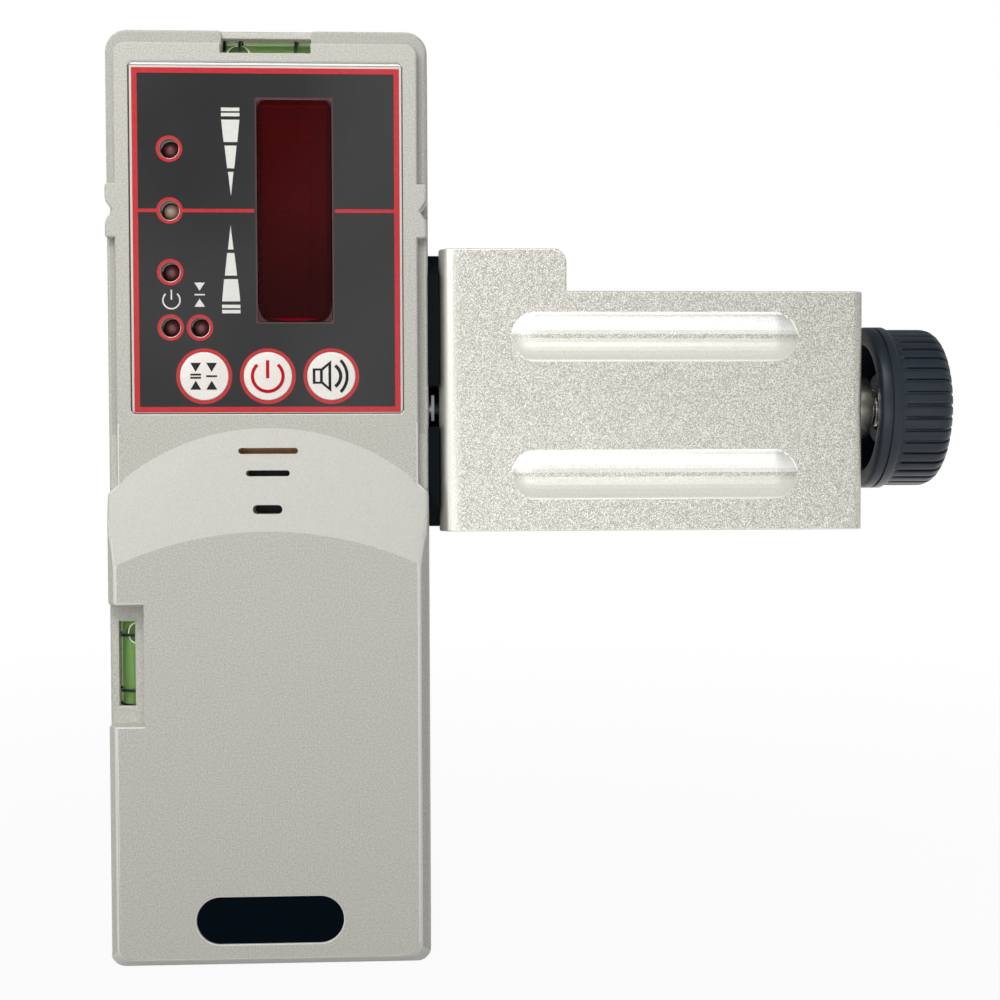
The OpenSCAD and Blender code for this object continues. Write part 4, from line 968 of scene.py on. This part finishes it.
stack_profile = [
    (0.0, stack_bore), (0.0, washer_r), (0.28, washer_r), (0.28, groove_r), (0.5, groove_r),
    (0.5, nut_flat_r), (1.08, nut_flat_r), (1.08, groove_r), (1.18, groove_r), (1.18, washer_r),
    (2.0, washer_r), (2.0, stack_bore),
]
stack_points = [on_stack(along, radius, math.tau * i / stack_steps)
                for along, radius in stack_profile for i in range(stack_steps)]
stack_faces = []
for row in range(len(stack_profile)):
    here, after = row * stack_steps, (row + 1) % len(stack_profile) * stack_steps
    for i in range(stack_steps):
        j = (i + 1) % stack_steps
        stack_faces.append((here + i, here + j, after + j, after + i))
stack_finish = Finish("plated_washers", Metallic=1.0)
stack_grain = stack_finish.grain(0.5, 3)
stack_x = stack_finish.along("X") - stack_start
# Painted shade: the last washer along the screw is painted dark.
thin_washer_end, shaded_washer_start = 0.3, 1.1
stack_finish.feed(
    Base_Color=stack_finish.layers(
        stack_finish.blend(stack_grain, paint(140, 143, 150), paint(172, 175, 182)),
        (stack_x < thin_washer_end, paint(112, 114, 118)),
        (stack_x > shaded_washer_start, paint(44, 48, 52)),
    ),
    Roughness=stack_grain * 0.15 + 0.25,
)
stack_mesh = shape_mesh("washer_stack", stack_points, stack_faces, False)
washer_stack = add_piece("washer_stack", stack_mesh, stack_finish, "receiver")
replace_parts(washer_stack, "fixing_washer")

# Clamp bush and screw: a nickel-plated bush riveted in the bracket's end, and a steel
# screw with a rolled thread that runs in it.
nickel = grained("nickel_bush", 0.9, 3, (206, 200, 186), (228, 223, 212), (0.24, 0.36),
                 Metallic=1.0)
dress(nickel, "clamp_bush")
pitch, screw_r, root_r = 1.25, 4.0, 3.35
screw_tip, screw_end = 66.1, 126.4
round_steps, pitch_steps = 32, 5
flank_steepness, root_share = 1.5, 0.25


def on_thread(x, radius, angle):
    flank = abs(((x - screw_tip) / pitch - angle / math.tau) % 1 - 0.5) * 2
    crest = min(1, max(0, flank * flank_steepness - root_share))
    return on_axis(x, min(radius, root_r + (screw_r - root_r) * crest), angle)


rows = int((screw_end - screw_tip) / pitch * pitch_steps)
thread_profile = [(screw_tip, 0)]
for i in range(rows + 1):
    thread_profile.append((screw_tip + (screw_end - screw_tip) * i / rows, screw_r))
thread_profile.append((screw_end, 0))
screw_mesh = shape_mesh("clamp_thread", *turned(thread_profile, round_steps, on_thread))
clamp_thread = add_piece("clamp_thread", screw_mesh, steel, "knob")
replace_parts(clamp_thread, "clamp_screw")

# Clamp foot: a black nylon moulding with well-rounded edges and a rubber face.
# The screw's end turns in it and pushes it towards the staff pad.
clamp_plastic = Finish("black_nylon", Specular_IOR_Level=0.25)
nylon_grain = clamp_plastic.grain(0.3)
nylon_cloud = clamp_plastic.grain(5, 3)
clamp_plastic.feed(
    Base_Color=clamp_plastic.blend(nylon_cloud, paint(29, 37, 45), paint(43, 52, 61)),
    Roughness=nylon_grain * 0.12 + 0.3,
    Normal=clamp_plastic.relief(nylon_grain, 0.02),
)
foot_round = 0.4


def foot_edge(x, y, z, convex):
    return foot_round if convex else 0


eased("foot_shoe", "clamp_foot", foot_edge, clamp_plastic, "foot")
eased("foot_face", "foot_pad", small_edge, rubber, "foot")

# Clamp knob: a black nylon moulding with a grooved collar, forty grip flutes and a hollow
# cup towards the bracket, pressed on the end of the screw.
knob_end, end_round, end_steps, grip_r = 129.4, 3, 8, 12.5
round_x, round_r = 126.4, 12.4
knob_profile = [
    (126.4, 0), (126.4, 4.0), (118.8, 4.0), (118.4, 4.4), (118.4, 6.7), (118.7, 7.0),
    (122.7, 7.0), (123.0, 7.3), (123.0, 12.1), (122.7, 12.4), (115.4, 12.4), (115.1, 12.55),
    (115.0, 12.9), (115.0, 15.2), (115.15, 15.65), (115.5, 15.9), (116.7, 15.9),
    (116.78, 15.55), (117.12, 15.55), (117.2, 15.9), (118.6, 15.9), (118.85, 15.75),
    (118.95, 15.42), (119.3, 15.4), (119.6, 15.4), (120.4, 15.4), (123.0, 15.4), (126.4, 15.4),
]
for step in range(1, end_steps + 1):
    turn = math.pi / 2 * step / end_steps
    knob_profile.append((round_x + end_round * math.sin(turn),
                         round_r + end_round * math.cos(turn)))
knob_profile += [(knob_end, 11.0), (knob_end, 6.0), (knob_end, 0)]
flute_count, flute_depth, flutes_from, flute_run, flute_run_w = 40, 0.6, 119.35, 119.2, 1.0
flute_cut = ((-1.9, 0.0), (-1.4, 0.1), (-0.9, 0.85), (0.0, 1.0), (0.9, 0.85), (1.4, 0.1),
             (1.9, 0.0), (3.2, 0.0), (4.5, -0.03), (5.8, 0.0))
knob_sharp = math.radians(38)


def on_knob(x, radius, angle):
    """Each flute takes one run of flute_cut: degrees from its middle, and share of its depth."""
    flute_turn = 360 / flute_count
    step = int(math.degrees(angle) / flute_turn * len(flute_cut) + 0.5)
    flute, part = divmod(step, len(flute_cut))
    offset, cut = flute_cut[part]
    if radius > grip_r and x > flutes_from:
        radius -= flute_depth * cut * min(1, max(0, (x - flute_run) / flute_run_w))
    return on_axis(x, radius, math.radians(flute * flute_turn + offset))


knob_mesh = shape_mesh(
    "grip_knob", *turned(knob_profile, flute_count * len(flute_cut), on_knob))
grip_knob = add_piece("grip_knob", knob_mesh, clamp_plastic, "knob")
knob_mesh.set_sharp_from_angle(angle=knob_sharp)
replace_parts(grip_knob, "clamp_knob")

# Floor and studio: a plain pale floor that keeps the shadow, a white surround, three
# broad soft lamps in front (left, high up and a weak one low down) and two behind.
# The camera stands where the photo was taken from.
floor_half, floor_gap = 3.0, 0.0002
floor_mesh = bpy.data.meshes.new("floor")
floor_mesh.from_pydata([(-floor_half, -floor_half, 0), (floor_half, -floor_half, 0),
                        (floor_half, floor_half, 0), (-floor_half, floor_half, 0)],
                       [], [(0, 1, 2, 3)])
floor = bpy.data.objects.new("floor", floor_mesh)
bpy.context.scene.collection.objects.link(floor)
floor.location.z = -floor_gap
floor_finish = Finish("pale_floor", Roughness=0.9, Specular_IOR_Level=0.0)
floor_grain = floor_finish.grain(400, 2)
floor_finish.feed(
    Base_Color=floor_finish.blend(floor_grain, paint(140, 140, 140), paint(144, 144, 144)))
white, mirror_gain = (1, 1, 1, 1), 0.5
white_glow = floor_finish.node("ShaderNodeEmission", {}, {
    "Color": white, "Strength": floor_finish.seen_by("Glossy") * mirror_gain + 1})
lit_floor = Signal(floor_finish, floor_finish.shader.outputs[0])
off_middle = floor_finish.node(
    "ShaderNodeVectorMath", {"operation": "LENGTH"}, {0: floor_finish.place}, "Value")
fade = floor_finish.ramp(off_middle, 0.1, 0.5, 0.95, 1.0)
floor_mix = floor_finish.node("ShaderNodeMixShader", {}, {
    0: floor_finish.seen_by("Camera", "Glossy") * fade, 1: lit_floor, 2: white_glow})
floor_finish.fill(floor_finish.tree.nodes["Material Output"], {"Surface": floor_mix})
floor_mesh.materials.append(floor_finish.material)

world = bpy.data.worlds.new("white_surround")
bpy.context.scene.world = world
surround = NodeMaker(world)
heading = surround.node("ShaderNodeTexCoord", {}, {}, "Generated")
overhead = surround.node("ShaderNodeSeparateXYZ", {}, {0: heading}, "Z")
behind = surround.node("ShaderNodeSeparateXYZ", {}, {0: heading}, "Y")
room = surround.node("ShaderNodeTexNoise", {}, {"Vector": heading, "Scale": 7.0, "Detail": 1.0})
mirrored = (surround.ramp(overhead, 0.35, 0.95, 1.0, 0.15)
            * surround.ramp(room, 0.4, 0.6, 0.75, 1.35)
            * surround.ramp(behind, 0.2, 0.8, 1.0, 0.35))
glossy_ray = surround.seen_by("Glossy")
plain_ray = surround.seen_by("Camera", "Transmission")
soft_light = 0.2
strength = plain_ray + (1 - plain_ray) * (glossy_ray * mirrored + (1 - glossy_ray) * soft_light)
surround.fill(world.node_tree.nodes["Background"], {"Color": white, "Strength": strength})


def add_lamp(name, place, target, wide, deep, power):
    """A broad soft lamp, place, target and sides in millimetres."""
    light = bpy.data.lights.new(name, "AREA")
    light.shape = "RECTANGLE"
    light.size = wide * mm
    light.size_y = deep * mm
    light.energy = power
    lamp = bpy.data.objects.new(name, light)
    bpy.context.scene.collection.objects.link(lamp)
    lamp.location = Vector(place) * mm
    aim = Vector(target) - Vector(place)
    lamp.rotation_euler = aim.to_track_quat("-Z", "Y").to_euler()
    return lamp


add_lamp("side_lamp", (-230, -420, 230), (0, 0, 110), 160, 200, 0.3)
add_lamp("high_lamp", (-60, -250, 380), (40, 0, 110), 420, 160, 1.12)
add_lamp("low_lamp", (20, -330, 25), (30, 0, 110), 300, 50, 0.2)
back_lamps = [add_lamp("back_left_lamp", (-300, 480, 260), (20, 0, 90), 300, 300, 1.5),
              add_lamp("back_right_lamp", (400, 470, 260), (20, 0, 90), 300, 300, 1.8)]
for lamp in back_lamps:
    lamp.visible_glossy = False

camera_data = bpy.data.cameras.new("camera")
camera_data.sensor_width = 36.0
camera_data.lens = 54.0
camera_data.clip_start = 0.01
camera = bpy.data.objects.new("camera", camera_data)
bpy.context.scene.collection.objects.link(camera)
camera_place = Vector((30.0, -289.3, 94.3)) * mm
camera_turn = Matrix.Identity(3)
for degrees, axis in ((2.59, "Z"), (-0.28, "Y"), (1.77, "X")):
    camera_turn = camera_turn @ Matrix.Rotation(math.radians(degrees), 3, axis)
look_ahead = Matrix(((1, 0, 0), (0, 0, -1), (0, 1, 0)))
camera_axes = camera_turn.transposed() @ look_ahead
camera.matrix_world = Matrix.Translation(camera_place) @ camera_axes.to_4x4()
bpy.context.scene.camera = camera
bpy.context.scene.view_settings.view_transform = "Standard"
